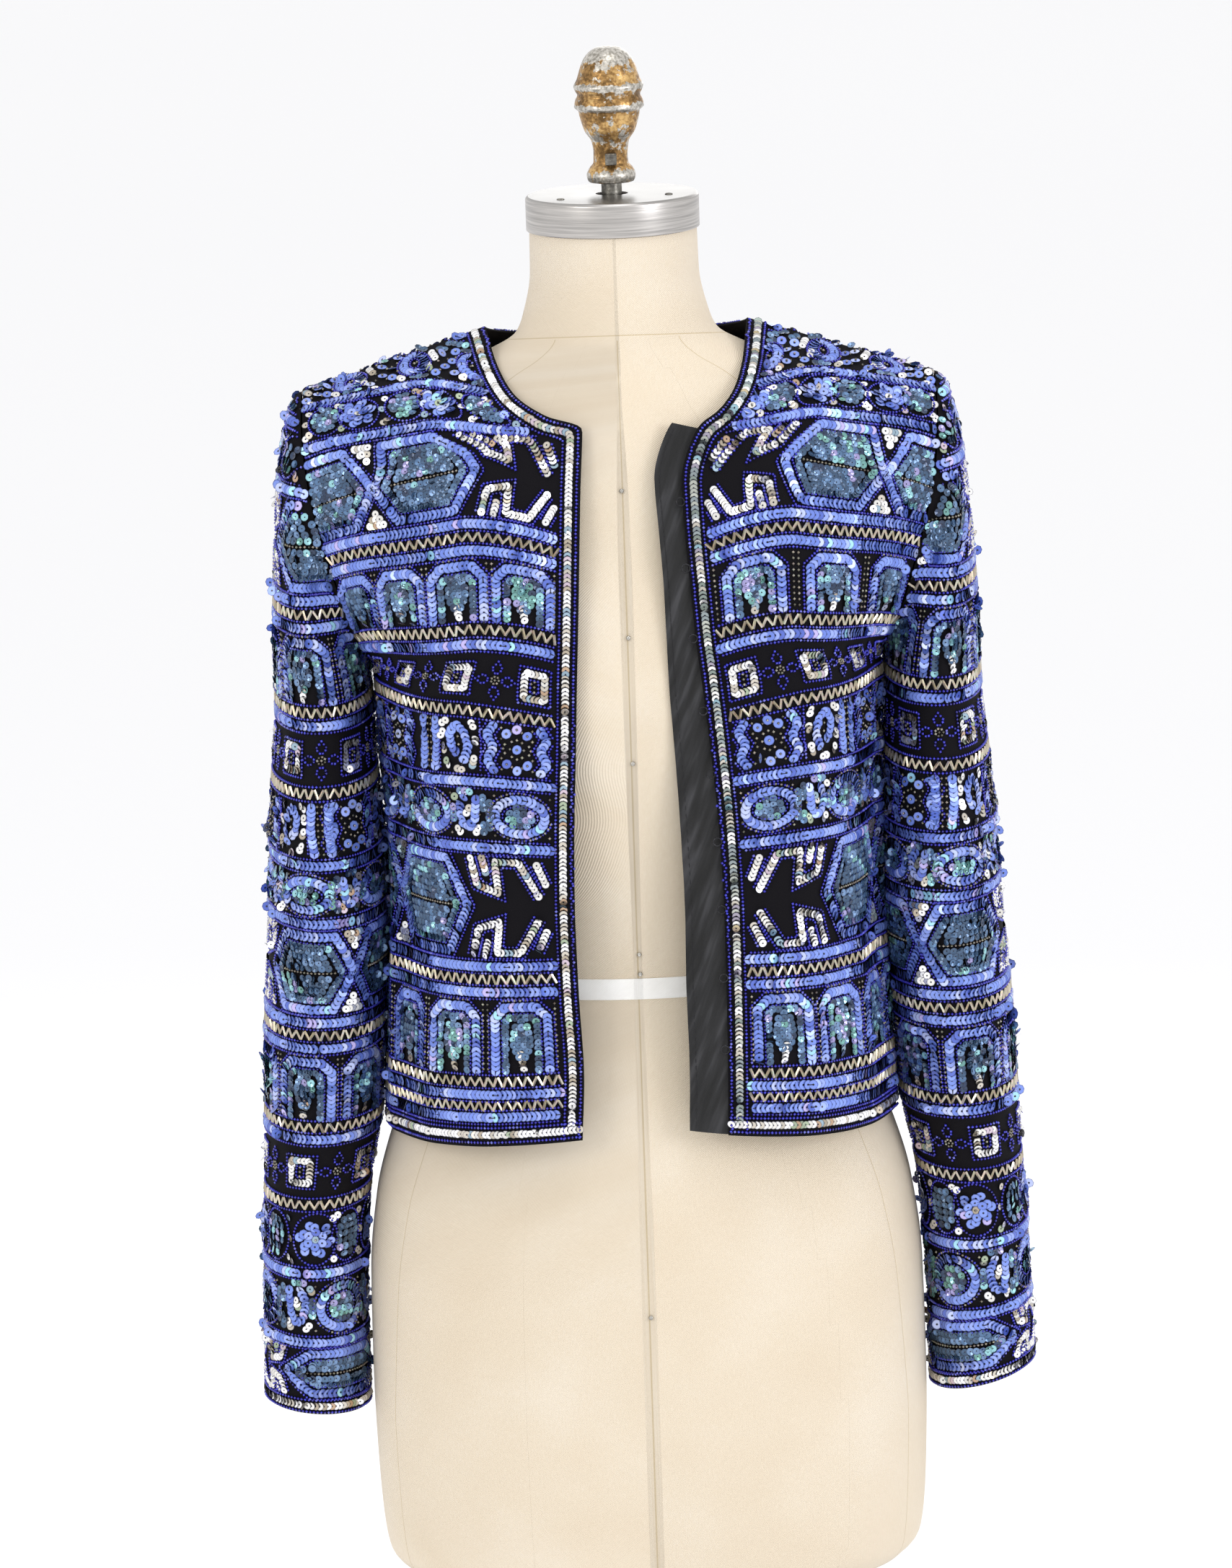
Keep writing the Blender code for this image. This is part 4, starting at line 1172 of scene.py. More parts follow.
# %% Materials of the sequins and beads
def make_sequin(name, rough, metal, hole, **values):
    """A lacquered disc. Its colour comes from each piece's tint and painted glint. It darkens at
    the punched hole in the middle, it has painted shade at its rim, where it lies on the next
    one, and its gloss varies a little over it."""
    material, node, drive = new_material(name, Metallic=metal, **values)
    tint = node("Attribute", {"attribute_name": "tint"})
    disc = node("VectorMath", {"operation": "LENGTH"},
                i0=node("UVMap", {"uv_map": "mm"}).outputs["UV"]).outputs["Value"]
    dark = node("MixRGB", i0=remap(node, disc, hole * 0.7, hole), i1=linear("15142A"),
                i2=tint.outputs["Color"])
    # The rim is painted darker: painted shade of the overlap between neighbouring sequins.
    edge = node("MixRGB", {"blend_type": "MULTIPLY"},
                i0=remap(node, disc, 0.76, 0.95, 0.0, 0.8), i1=dark.outputs[0],
                i2=linear("3A3E6A"))
    drive("Base Color", edge.outputs[0])
    haze = noise(node, node("TexCoord").outputs["Object"], 420.0, 2.0)
    drive("Roughness", remap(node, haze, start=rough - 0.08, end=rough + 0.12))
    bump(node, drive, haze, 0.25, 0.12)
    return material


def make_bead(name, rough, metal):
    """Glass seed or bugle bead: a clear glossy coat over the coloured lining."""
    material, node, drive = new_material(name, Metallic=metal, Coat_Weight=0.6)
    tint = node("Attribute", {"attribute_name": "tint"})
    cloud = node("TexNoise", Vector=node("TexCoord").outputs["Object"], Scale=700.0)
    low = node("MixRGB", {"blend_type": "MULTIPLY"}, i0=0.5, i1=tint.outputs["Color"],
               i2=cloud.outputs["Color"])
    drive("Base Color", low.outputs[0])
    drive("Roughness", remap(node, cloud.outputs["Fac"], start=rough - 0.06,
                             end=rough + 0.1))
    return material


thread, node, drive = new_material("black thread", Roughness=0.7)
ply = node("TexWave", {"bands_direction": "X"}, Vector=node("TexCoord").outputs["Object"],
           Scale=900.0, Distortion=2.0)
drive("Base Color", ramp(node, ply.outputs["Fac"], (0.2, "0D0D0E"), (0.8, "26262A")))
bump(node, drive, ply.outputs["Fac"], 0.4, 0.15)

# Roughness, metal, and for a sequin the hole's radius as a part of the disc's.
bead_materials = {
    "blue": make_sequin("periwinkle sequin", 0.3, 0.35, 0.26, Coat_Weight=0.5),
    "silver": make_sequin("silver sequin", 0.2, 0.85, 0.24),
    "teal": make_sequin("teal cup sequin", 0.22, 0.6, 0.2, Coat_Weight=0.5),
    "navy": make_bead("royal blue seed bead", 0.2, 0.1),
    "grey": make_bead("silver-lined grey bead", 0.25, 0.5),
    "bugle": make_bead("champagne bugle", 0.22, 0.55),
}
bead_materials["top"] = bead_materials["grey"]
bead_materials["edge"] = bead_materials["silver"]
bead_materials["thread"] = thread
print("bead materials:", len(bead_materials))

# %% [markdown]
# ## Drawing with thread
#
# A motif is a short list of strokes: the kind of bead, the pitch at which the beads follow
# each other, and a line in millimetres. Most shapes of this work are one stroke of sequins
# with a row of royal blue beads couched along both sides of it, so that group is one
# function.


# %% Stroke helpers
PITCH = {"blue": 2.85, "silver": 2.45, "edge": 2.45, "teal": 3.3, "navy": 2.2, "grey": 2.7,
         "top": 9.0, "bugle": 3.0}
ROW_GAP = 4.1


def stroke(kind, *path, pitch=None):
    """A thread of one kind of bead along a line of (x, y) points."""
    return kind, pitch or PITCH[kind], np.asarray(path, float)


def one(kind, *spots):
    """Single beads at (x, y) spots."""
    return [(kind, FAR, np.array([(x - 0.1, y), (x + 0.1, y)])) for x, y in spots]


def oval(cx, cy, rx, ry, start=0, end=360, sides=20):
    """Points round an oval, or a part of it, by its centre, radii and angles in degrees."""
    a = np.radians(np.linspace(start, end, sides + 1))
    return np.stack([cx + rx * np.cos(a), cy + ry * np.sin(a)], axis=-1)


def offset(path, distance):
    """A line beside another one: each corner moves along the mean normal of its two sides."""
    path = np.asarray(path, float)
    along = np.diff(path, axis=0)
    along /= np.linalg.norm(along, axis=1, keepdims=True)
    normal = np.stack([-along[:, 1], along[:, 0]], axis=-1)
    closed = np.linalg.norm(path[0] - path[-1]) < 1e-6
    first, last = (normal[-1], normal[0]) if closed else (normal[0], normal[-1])
    before, after = np.vstack([first, normal]), np.vstack([normal, last])
    mean = before + after
    share = np.maximum((mean * mean).sum(axis=1, keepdims=True) / 2, 0.6)
    return path + mean * distance / share


def outlined(kind, path, gap=ROW_GAP, sides=(1, -1)):
    """A stroke of sequins with a row of royal blue beads along its sides."""
    return [stroke(kind, *path)] + [stroke("navy", *offset(path, gap * s)) for s in sides]


def filled(kind, cx, cy, rx, ry, gap):
    """Rows of sequins that fill an oval."""
    rows = np.arange(-ry + gap / 2, ry, gap)
    return [stroke(kind, (cx - r, cy + y), (cx + r, cy + y), pitch=gap)
            for y, r in zip(rows, rx * np.sqrt(1 - (rows / ry) ** 2)) if r > 1]


def mirrored(strokes, h):
    """The same strokes upside down in a band of height h."""
    return [(kind, pitch, path * (1, -1) + (0, h)) for kind, pitch, path in strokes]


def moved(strokes, x, y=0.0):
    """The same strokes moved by x and y."""
    return [(kind, pitch, path + (x, y)) for kind, pitch, path in strokes]


# %% [markdown]
# ## The motifs
#
# The bands are old geometric ornament: arches, square rosettes, four-petalled flowers, long
# hexagons that meet in an X, stepped arrows, ovals, waves with dots. Each one is drawn here in
# a cell of width w and height h, both in millimetres.


# %% Motifs
def arch(w, h):
    """A blue arch with cut corners, open below, lined with teal, with silver at its foot."""
    def portal(inset, cut):
        left, right, top = w / 2 - 18.8 + inset, w / 2 + 18.8 - inset, h - 1.2 - inset
        return [(left, 1), (left, top - cut), (left + cut, top), (right - cut, top),
                (right, top - cut), (right, 1)]
    inner = filled("teal", w / 2, h * 0.47, 6.6, h * 0.27, 3.6)
    return (outlined("blue", portal(3.0, 6.5)) + [stroke("teal", *portal(9.2, 3.0))] + inner
            + [stroke("silver", (w / 2 - 1, 2), (w / 2 + 1, h * 0.3))]
            + [stroke("grey", (x, 2), (x, h - 1), pitch=3.2) for x in (-1.5, 1.5)]
            + [stroke("grey", (w / 2 - 12, h - 0.2), (w / 2 + 12, h - 0.2), pitch=3.4)])


def rosette(w, h):
    """A silver square with a hollow middle, then a flower of four pointed petals."""
    cx, cy, fx = w * 0.26, h / 2, w * 0.76
    square = [(cx - 6, cy - 7.2), (cx + 6, cy - 7.2), (cx + 6, cy + 7.2), (cx - 6, cy + 7.2),
              (cx - 6, cy - 7.2)]
    out = outlined("silver", square, 3.6)
    out += one("grey", (cx, cy - 3), (cx, cy), (cx, cy + 3), (cx + 2, cy + 1.5))
    for turn in range(4):
        a = math.radians(90 * turn)
        tip = np.array([math.cos(a), math.sin(a)])
        side = np.array([-tip[1], tip[0]])
        hub = np.array([fx, cy])
        out.append(stroke("navy", hub + tip * 3.4, hub + tip * 7 + side * 3.2,
                          hub + tip * 11.6, hub + tip * 7 - side * 3.2, hub + tip * 3.4))
    out.append(stroke("grey", *oval(fx, cy, 2.3, 2.3, sides=8), pitch=1.9))
    return out + one("grey", (fx, cy))


def hexagon(w, h):
    """A long blue hexagon filled with teal cups; neighbours meet in an X with silver above
    and below it."""
    ring = np.array([(0.5, h / 2), (w * 0.22, h - 3.5), (w * 0.78, h - 3.5), (w - 0.5, h / 2),
                     (w * 0.78, 3.5), (w * 0.22, 3.5), (0.5, h / 2)])
    inner = ring * ((w - 15) / w, (h - 14) / h) + (7.5, 7)
    out = outlined("blue", ring, sides=(-1, 1)) + [stroke("teal", *inner)]
    for away in np.arange(3.5, h / 2 - 10.5, 3.7):
        reach = w / 2 - 12.5 - away / (h / 2) * w * 0.20
        for y in (h / 2 - away, h / 2 + away):
            out.append(stroke("teal", (w / 2 - reach, y), (w / 2 + reach, y), pitch=3.6))
    out.append(stroke("grey", (11, h / 2), (w - 11, h / 2), pitch=2.3))
    for foot, way in ((h - 2.8, -1), (2.8, 1)):
        for k, half in enumerate((6.0, 3.8, 1.6)):
            out.append(stroke("silver", (w - half, foot + way * k * 3.8),
                              (w + half, foot + way * k * 3.8)))
    return out


def arrow(w, h):
    """Stepped silver strokes, the same above and below, that leave a black arrow between
    them, pointing to the front edge."""
    upper = []
    for path in (((0.18, 0.94), (0.06, 0.72)), ((0.82, 0.99), (0.76, 0.82)),
                 ((0.96, 0.98), (0.88, 0.71), (0.62, 0.64), (0.66, 0.94), (0.38, 0.94),
                  (0.14, 0.60))):
        upper += outlined("silver", [(x * w, y * h) for x, y in path], 3.5)
    return upper + mirrored(upper, h)


def oval_chain(w, h):
    """A blue oval ring with teal in it, then a bent blue loop among teal cups and silver."""
    ring = oval(w * 0.31, h / 2, 14.5, h / 2 - 4.6)
    out = outlined("blue", ring) + filled("teal", w * 0.31, h / 2, 8.5, h / 2 - 8.5, 3.6)
    out.append(stroke("grey", *oval(w * 0.31, h / 2, 18.4, h / 2 - 0.4), pitch=3.4))
    lines = {
        "blue": [((0.74, 0.84), (0.76, 0.42), (0.82, 0.22), (0.89, 0.3), (0.93, 0.6),
                  (0.86, 0.86))],
        "teal": [((0.61, 0.8), (0.61, 0.2)), ((0.67, 0.9), (0.67, 0.58)),
                 ((0.67, 0.36), (0.67, 0.1)), ((0.99, 0.68), (0.99, 0.34)),
                 ((0.78, 0.95), (0.93, 0.96))],
        "silver": [((0.72, 0.26), (0.76, 0.1)), ((0.96, 0.88), (0.99, 0.78)),
                   ((0.97, 0.22), (0.91, 0.09)), ((0.81, 0.66), (0.85, 0.48))],
    }
    for kind, paths in lines.items():
        out += [stroke(kind, *(np.array(path) * (w, h))) for path in paths]
    return out + one("grey", *(np.array(((0.56, 0.9), (0.56, 0.1), (0.71, 0.5), (0.83, 0.36),
                                         (0.02, 0.9), (0.02, 0.1))) * (w, h)))


def wave(w, h):
    """Two wavy blue strokes that hold single sequins with bead centres, then a diamond flower
    between silver dashes."""
    out = []
    for x, way in ((5, 1), (37, -1)):
        line = [(x + way * dx, h * y) for dx, y in
                ((3, 0.06), (-1.5, 0.27), (2.5, 0.5), (-1.5, 0.73), (3, 0.94))]
        out += outlined("blue", line, 4.0)
    spots = [(15, h * 0.22), (21, h * 0.12), (27, h * 0.22), (15, h * 0.78), (21, h * 0.88),
             (27, h * 0.78), (21, h * 0.5)]
    out += one("blue", *spots) + one("top", *spots)
    for x, shares in ((0, (0.32, 0.68)), (7, (0.42, 0.58)), (4, (0.5,)), (3, (0.36, 0.64)),
                      (9, (0.32, 0.68)), (8, (0.5,)), (3, (0.17, 0.83)),
                      (9, (0.12, 0.88))):
        for y in shares:
            out += one("grey", *[(21 + way * x, h * y) for way in ((-1, 1) if x else (1,))])
    lines = {
        "blue": [((53, 0.2), (49.5, 0.45), (52, 0.72), (57, 0.86), (61.5, 0.7), (60, 0.45),
                  (56.5, 0.34)), ((72, 0.94), (71, 0.5), (73, 0.06)),
                 ((82, 0.94), (81, 0.5), (82.5, 0.06))],
        "silver": [((46, 0.80), (48, 0.94)), ((45.5, 0.52), (45, 0.66)),
                   ((46, 0.30), (47.5, 0.12)), ((53, 0.05), (58, 0.08)),
                   ((65, 0.24), (62.5, 0.10)), ((66.5, 0.50), (65, 0.36)),
                   ((63, 0.93), (68, 0.84)), ((66, 0.74), (67.5, 0.62))],
        "navy": [((42.6, 0.96), (41.8, 0.5), (42.6, 0.04)), ((68.6, 0.7), (68.9, 0.06))],
    }
    for kind, paths in lines.items():
        out += [stroke(kind, *(np.array(path) * (1, h))) for path in paths]
    return out + one("grey", *[(x, h * y) for x in (75.4, 78.0) for y in
                               np.linspace(0.08, 0.92, 9)], (55.5, h * 0.5), (56.0, h * 0.64))


def pinwheel(w, h):
    """A blue pinwheel flower, a cluster of teal cups and small groups of silver."""
    cx, cy = w * 0.27, h / 2
    out = []
    for turn in range(6):
        a = math.radians(60 * turn + 20)
        start = (cx + 3.2 * math.cos(a), cy + 3.2 * math.sin(a))
        bent = (cx + 7.5 * math.cos(a + 0.25), cy + 7.5 * math.sin(a + 0.25))
        end = (cx + 10.5 * math.cos(a + 0.65), cy + 10.5 * math.sin(a + 0.65))
        out.append(stroke("blue", start, bent, end))
    out += one("silver", (cx, cy)) + one("top", (cx, cy))
    out.append(stroke("navy", *oval(cx, cy, 13.5, h / 2 - 0.8)))
    out += filled("teal", w * 0.70, cy, 9.5, h / 2 - 4.5, 4.2)
    out.append(stroke("navy", *oval(w * 0.70, cy, 12.0, h / 2 - 1.2)))
    return out + one("silver", (w * 0.50, 4), (w * 0.47, h - 5), (w * 0.53, h - 3.5),
                     (w * 0.93, 5), (w * 0.97, h / 2), (w * 0.92, h - 5), (w * 0.98, 3))


def scatter(w, h):
    """Blue loops and single sequins with bead centres, silver groups and grey beads."""
    out = outlined("blue", oval(w * 0.26, h * 0.52, 6.8, h * 0.27), 3.8)
    spots = [(w * 0.60, h * 0.25), (w * 0.75, h * 0.40), (w * 0.60, h * 0.58),
             (w * 0.76, h * 0.75), (w * 0.93, h * 0.20), (w * 0.50, h * 0.88)]
    out += one("blue", *spots) + one("top", *spots)
    out += one("grey", (w * 0.26, h * 0.52), (w * 0.22, h * 0.55), (w * 0.68, h * 0.24),
               (w * 0.68, h * 0.62), (w * 0.86, h * 0.55), (w * 0.52, h * 0.42),
               (w * 0.52, h * 0.70), (w * 0.84, h * 0.88), (w * 0.85, h * 0.28))
    return out + [stroke("silver", (w * 0.90, h * 0.62), (w * 0.97, h * 0.85)),
                  stroke("silver", (w * 0.44, h * 0.10), (w * 0.50, h * 0.20)),
                  stroke("teal", (w * 0.04, h * 0.92), (w * 0.36, h * 0.95)),
                  stroke("teal", (w * 0.06, h * 0.08), (w * 0.34, h * 0.06)),
                  stroke("silver", (w * 0.03, h * 0.30), (w * 0.06, h * 0.48)),
                  stroke("teal", (w * 0.67, h * 0.90), (w * 0.84, h * 0.94)),
                  stroke("silver", (w * 0.82, h * 0.06), (w * 0.90, h * 0.04))]


for motif in (arch, rosette, hexagon, arrow, oval_chain, wave, pinwheel, scatter):
    print(motif.__name__, len(motif(60.0, 34.0)), "strokes")

# %% [markdown]
# ## The order of the bands
#
# The chart of the whole garment, as an embroiderer would have it beside the frame: heights in
# mm above the hem or the cuff. A bar is one row of blue sequins between two rows of royal blue
# beads, zig is a zigzag of bugles, and navy and silver are single rows. Each motif has its
# lowest and highest point and the width of one repeat.

# %% Charts of the bands
BODY_LINES = (("navy", 2.6), ("silver", 7.2), ("navy", 11.4), ("bar", 17.8), ("zig", 24.6),
              ("bar", 31.4), ("zig", 39.2), ("bar", 93.3), ("zig", 101.0), ("bar", 108.7),
              ("bar", 181.7), ("bar", 221.8), ("zig", 264.4), ("bar", 305.4), ("zig", 314.0),
              ("bar", 359.6), ("zig", 367.4), ("bar", 375.2), ("bar", 440.9), ("bar", 479.0),
              ("navy", 43.4), ("navy", 260.0), ("navy", 268.8), ("navy", 318.4))
BODY_MOTIFS = ((arch, 43.5, 88.5, 42), (hexagon, 113.5, 177.0, 65),
               (oval_chain, 186.5, 217.0, 56), (wave, 226.5, 260.5, 84),
               (rosette, 268.5, 300.5, 43), (arch, 318.5, 355.0, 42),
               (hexagon, 380.0, 436.0, 65), (pinwheel, 445.5, 474.5, 54),
               (scatter, 483.5, 521.0, 46), (scatter, 522.5, 560.0, 46))
SLEEVE_LINES = (("navy", 1.5), ("silver", 5.4), ("navy", 9.2), ("bar", 47.0), ("bar", 92.0),
                ("zig", 136.0), ("bar", 178.5), ("zig", 186.0), ("bar", 236.0),
                ("zig", 244.0), ("bar", 252.0), ("bar", 314.0), ("bar", 350.0),
                ("zig", 393.6), ("bar", 434.0), ("zig", 442.0), ("bar", 492.0),
                ("zig", 500.0), ("bar", 508.0), ("bar", 572.0), ("bar", 609.0),
                ("navy", 131.7), ("navy", 140.3), ("navy", 190.3), ("navy", 389.2),
                ("navy", 398.0), ("navy", 446.4))
SLEEVE_MOTIFS = ((hexagon, 10.5, 43.0, 62), (oval_chain, 51.5, 87.5, 56),
                 (pinwheel, 96.5, 131.5, 54), (rosette, 140.5, 174.0, 43),
                 (arch, 190.0, 231.5, 42), (hexagon, 257.0, 309.5, 66),
                 (oval_chain, 318.5, 345.5, 56), (wave, 354.5, 389.0, 80),
                 (rosette, 398.0, 429.5, 43), (arch, 446.0, 487.5, 42),
                 (hexagon, 512.5, 567.5, 66), (pinwheel, 576.5, 604.5, 54),
                 (scatter, 613.5, 650.0, 46), (scatter, 652.0, 690.0, 46))
# The arrow's width on a front and on a sleeve, and the strip kept for the edge rows, which
# lie at these distances from a bound edge.
ARROW_WIDTH = {"front": 50.0, "sleeve": 36.0}
EDGE_ROOM = 13.2
EDGE_ROWS = (("navy", 2.4), ("silver", 6.8), ("navy", 11.0))
EDGE_REACH = 30.0
BACK_NECK_REACH = NECK_SHARE - 0.012
# Rows below this level run through to the bound edge.
HEM_ROWS_TOP = 12.0
# A bar's blue row turns its overlap round after each stretch.
STRETCH, STRETCH_DRIFT = 47.0, 6.0
# Room kept free at a panel's seams and hem.
SEAM_ROOM, HEM_ROOM = 1.6, 1.0
# Rows of blue with more than so many sequins get end stitches, and longer ones also a join
# past the sequin with this number, counted from 0. A stitch reaches so far past its
# sequin's middle.
SHORT_ROW, LONG_ROW = 5, 24
JOIN_AFTER, KNOT_REACH = 7, 1.7


# %% Sewing a panel
def resample(path, pitch):
    """Points at even steps along a line and the unit direction at each."""
    step = np.linalg.norm(np.diff(path, axis=0), axis=1)
    run = np.concatenate([[0], np.cumsum(step)])
    count = max(int(round(run[-1] / pitch)), 1)
    at = (np.arange(count) + 0.5) * run[-1] / count
    part = np.clip(np.searchsorted(run, at) - 1, 0, len(step) - 1)
    spot = np.stack([np.interp(at, run, path[:, k]) for k in (0, 1)], axis=-1)
    return spot, (np.diff(path, axis=0) / np.maximum(step[:, None], 1e-6))[part]


def along_row(kind, level, start, end):
    """Strokes of a straight row: a bar has beads on both sides and turns its overlap round
    from stretch to stretch, and a zigzag is a chain of leaning bugles."""
    if kind == "zig":
        return [stroke("bugle", (start, level), (end, level))]
    if kind != "bar":
        return [stroke(kind, (start, level), (end, level))]
    count = max(int(round((end - start) / STRETCH)), 1)
    ends = np.linspace(start, end, count + 1)
    ends += STRETCH_DRIFT * np.sin(np.arange(count + 1) * 2.4 + level)
    ends[0], ends[-1] = start, end
    out = [stroke("navy", (start, level + side * ROW_GAP), (end, level + side * ROW_GAP))
           for side in (-1, 1)]
    for index, pair in enumerate(zip(ends, ends[1:])):
        line = [(x, level) for x in (pair if index % 2 else pair[::-1])]
        out.append(stroke("blue", *line))
    return out


def sew(panel, strokes, level, width, middle, bound):
    """Put strokes on a panel: every bead gets its share, level and direction. Bound beads lie
    at the edge; the others are left out where they would lie over the edge rows. A black
    stitch fastens each end of a row of blue sequins."""
    chart = charts[panel]
    seam_room = SEAM_ROOM / width * chart.span
    for kind, pitch, path in strokes:
        spot, way = resample(path, pitch)
        share = chart.share_at(spot[:, 0], middle)
        tall = spot[:, 1] + level
        keep = chart.at(chart.room, share, tall) > SEAM_ROOM
        keep &= chart.at(chart.low, share, tall) > HEM_ROOM
        if not chart.closed:
            keep &= share < chart.share[-1] - seam_room
            keep &= share > chart.share[0] + seam_room
        if not bound:
            keep &= chart.at(chart.edge, share, tall) > EDGE_ROOM
        rows = np.stack([share, tall, way[:, 0], way[:, 1]], axis=-1)[keep]
        sewn.setdefault((panel, kind), []).append(rows)
        if kind == "blue" and len(rows) > SHORT_ROW:
            ends = [(0, -1), (len(rows) - 1, 1)]
            if len(rows) > LONG_ROW:
                ends += [(JOIN_AFTER, 1), (JOIN_AFTER + 1, -1)]
            knots = rows[[place for place, _ in ends]]
            outward = np.array([sign for _, sign in ends])
            knots[:, 0] += outward * knots[:, 2] * KNOT_REACH * chart.span / width
            knots[:, 1] += outward * knots[:, 3] * KNOT_REACH
            sewn.setdefault((panel, "thread"), []).append(knots)


def sew_bands(panel, lines, motifs):
    """All straight rows and motif bands of one panel, with whole repeats across it. Except
    on the back, a band of hexagons starts with an arrow. On a sleeve it also ends with one,
    and on a front the last repeat is cut off at the side seam."""
    chart = charts[panel]
    front = panel.startswith("front")
    for kind, level in lines:
        width = float(chart.width_at(level))
        sew(panel, along_row(kind, level, 0.5, width - 0.5), 0.0, width, level,
            level < HEM_ROWS_TOP)
    for motif, low, high, repeat in motifs:
        middle = (low + high) / 2
        width = float(chart.width_at(middle))
        start, end = (EDGE_ROOM if front else 0.0), width
        if motif is hexagon and panel != "back":
            wide = ARROW_WIDTH[panel.split("_")[0]]
            sew(panel, moved(arrow(wide, high - low), start), low, width, middle, False)
            start += wide
            if not front:
                turned_arrow = [(k, p, (wide, 0) + path * (-1, 1))
                                for k, p, path in arrow(wide, high - low)]
                end -= wide
                sew(panel, moved(turned_arrow, end), low, width, middle, False)
        count = max(int(round((end - start) / repeat)), 1)
        cell = (end - start) / count
        if motif is hexagon and front:
            count, cell = int(math.ceil((end - start) / repeat)), repeat
        for index in range(count):
            sew(panel, moved(motif(cell, high - low), start + index * cell), low, width,
                middle, False)


def rising(row, share):
    """The first part of a row of distances, as far as the edge rows could reach, made to
    grow all the way, and the shares at which they lie."""
    stop = int(np.argmax(row > EDGE_REACH)) or len(row)
    return np.maximum.accumulate(row[:stop]) + np.arange(stop) * 1e-6, share[:stop]


def sew_edge(panel):
    """The bound front edge and neckline of a front: a row of silver between two rows of royal
    blue, each at a fixed distance from the edge, measured on the cloth. On the left front
    the middle row is drawn in the greyer edge colours, whose greys are painted reflections."""
    chart = charts[panel]
    for kind, away in EDGE_ROWS:
        if kind == "silver" and panel == "front_left":
            kind = "edge"
        share = np.array([np.interp(away, *rising(row, chart.share)) for row in chart.edge])
        spot = np.stack([chart.at(chart.points[..., k], share, chart.levels)
                         for k in range(3)], axis=-1)
        run = np.concatenate([[0], np.cumsum(np.linalg.norm(np.diff(spot, axis=0), axis=1))])
        at = np.arange(0, run[-1], PITCH[kind])
        tall, across = np.interp(at, run, chart.levels), np.interp(at, run, share)
        mid_width = chart.width_at(tall)
        way = np.stack([np.gradient(across) * mid_width, np.gradient(tall)], axis=-1)
        way /= np.maximum(np.linalg.norm(way, axis=1, keepdims=True), 1e-6)
        above_hem = 2.0 if kind == "navy" else away
        keep = chart.at(chart.room, across, tall) > HEM_ROOM
        keep &= chart.at(chart.low, across, tall) > above_hem
        rows = np.concatenate([across[:, None], tall[:, None], way], axis=1)[keep]
        sewn.setdefault((panel, kind), []).append(rows)


def sew_back_neck():
    """The same three rows along the back neckline, each level across the middle."""
    chart = charts["back"]
    at_middle = np.array([0.0]), np.array([MIDDLE_LEVEL])
    top = chart.at(chart.room, *at_middle)[0] + MIDDLE_LEVEL
    reach = np.linspace(-BACK_NECK_REACH, BACK_NECK_REACH, 60)
    for kind, away in EDGE_ROWS:
        width = float(chart.width_at(top - away))
        line = [(width / 2 * (1 + x), top - away) for x in reach]
        sew("back", [stroke(kind, *line)], 0.0, width, top - away, True)


sewn = {}
for panel in ("front_right", "front_left", "back"):
    sew_bands(panel, BODY_LINES, BODY_MOTIFS)
for panel in ("sleeve_right", "sleeve_left"):
    sew_bands(panel, SLEEVE_LINES, SLEEVE_MOTIFS)
for panel in ("front_right", "front_left"):
    sew_edge(panel)
sew_back_neck()
print("beads sewn:", sum(len(r) for rows in sewn.values() for r in rows))

# %% [markdown]
# ## From stitches to meshes
#
# A bead's place on the chart gives its point, the cloth's normal and the direction of its
# thread. One unit shape is then repeated at all of those frames by a single matrix product.


# %% Bead meshes
# The share of sequins whose thread has slackened, so that they stand out, and by how many
# degrees they do.
LOOSE_SHARE = 0.05
LOOSE_TIP = (18, 55)
# A bugle's slant in the zigzag, in degrees from the row.
BUGLE_SLANT = 64
# Half the length of thread from which a bead's direction is taken, in mm.
DIRECTION_REACH = 0.9
# The smallest and largest piece of a kind, as parts of its radius.
SIZE_RANGE = (0.96, 1.04)
# How much of a kind's random spread goes into its lean, and how far a loose sequin's middle
# rises with its tip.
LEAN_PART, TIP_RISE = 0.6, 0.85


def frames_of(panel, rows):
    """Point, direction, side and normal of every bead of one list."""
    chart = charts[panel]
    share, tall, dx, dy = rows.T
    shift = dx * DIRECTION_REACH * chart.span / chart.width_at(tall)
    point = chart.at(chart.points, share, tall)
    ahead = chart.at(chart.points, share + shift, tall + dy * DIRECTION_REACH)
    behind = chart.at(chart.points, share - shift, tall - dy * DIRECTION_REACH)
    normal = chart.at(chart.normals, share, tall)
    normal /= np.linalg.norm(normal, axis=1, keepdims=True)
    along = ahead - behind
    along -= normal * (along * normal).sum(axis=1, keepdims=True)
    along /= np.maximum(np.linalg.norm(along, axis=1, keepdims=True), 1e-9)
    return point, along, np.cross(normal, along), normal


def rotated(first, second, angle):
    """Two directions of every bead turned in their own plane, the first towards the second:
    first * cos + second * sin, and second * cos - first * sin."""
    c, s = np.cos(angle)[:, None], np.sin(angle)[:, None]
    return first * c + second * s, second * c - first * s


def repeated(unit, faces, centres, frames):
    """One unit shape at many frames: all points, and the faces numbered on from bead to
    bead. Unit is one set of points, or one set for each bead."""
    points = centres[:, None] + unit @ frames
    corner = np.arange(len(centres))[:, None, None] * points.shape[1]
    return points.reshape(-1, 3), (faces[None] + corner).reshape(-1, faces.shape[1])


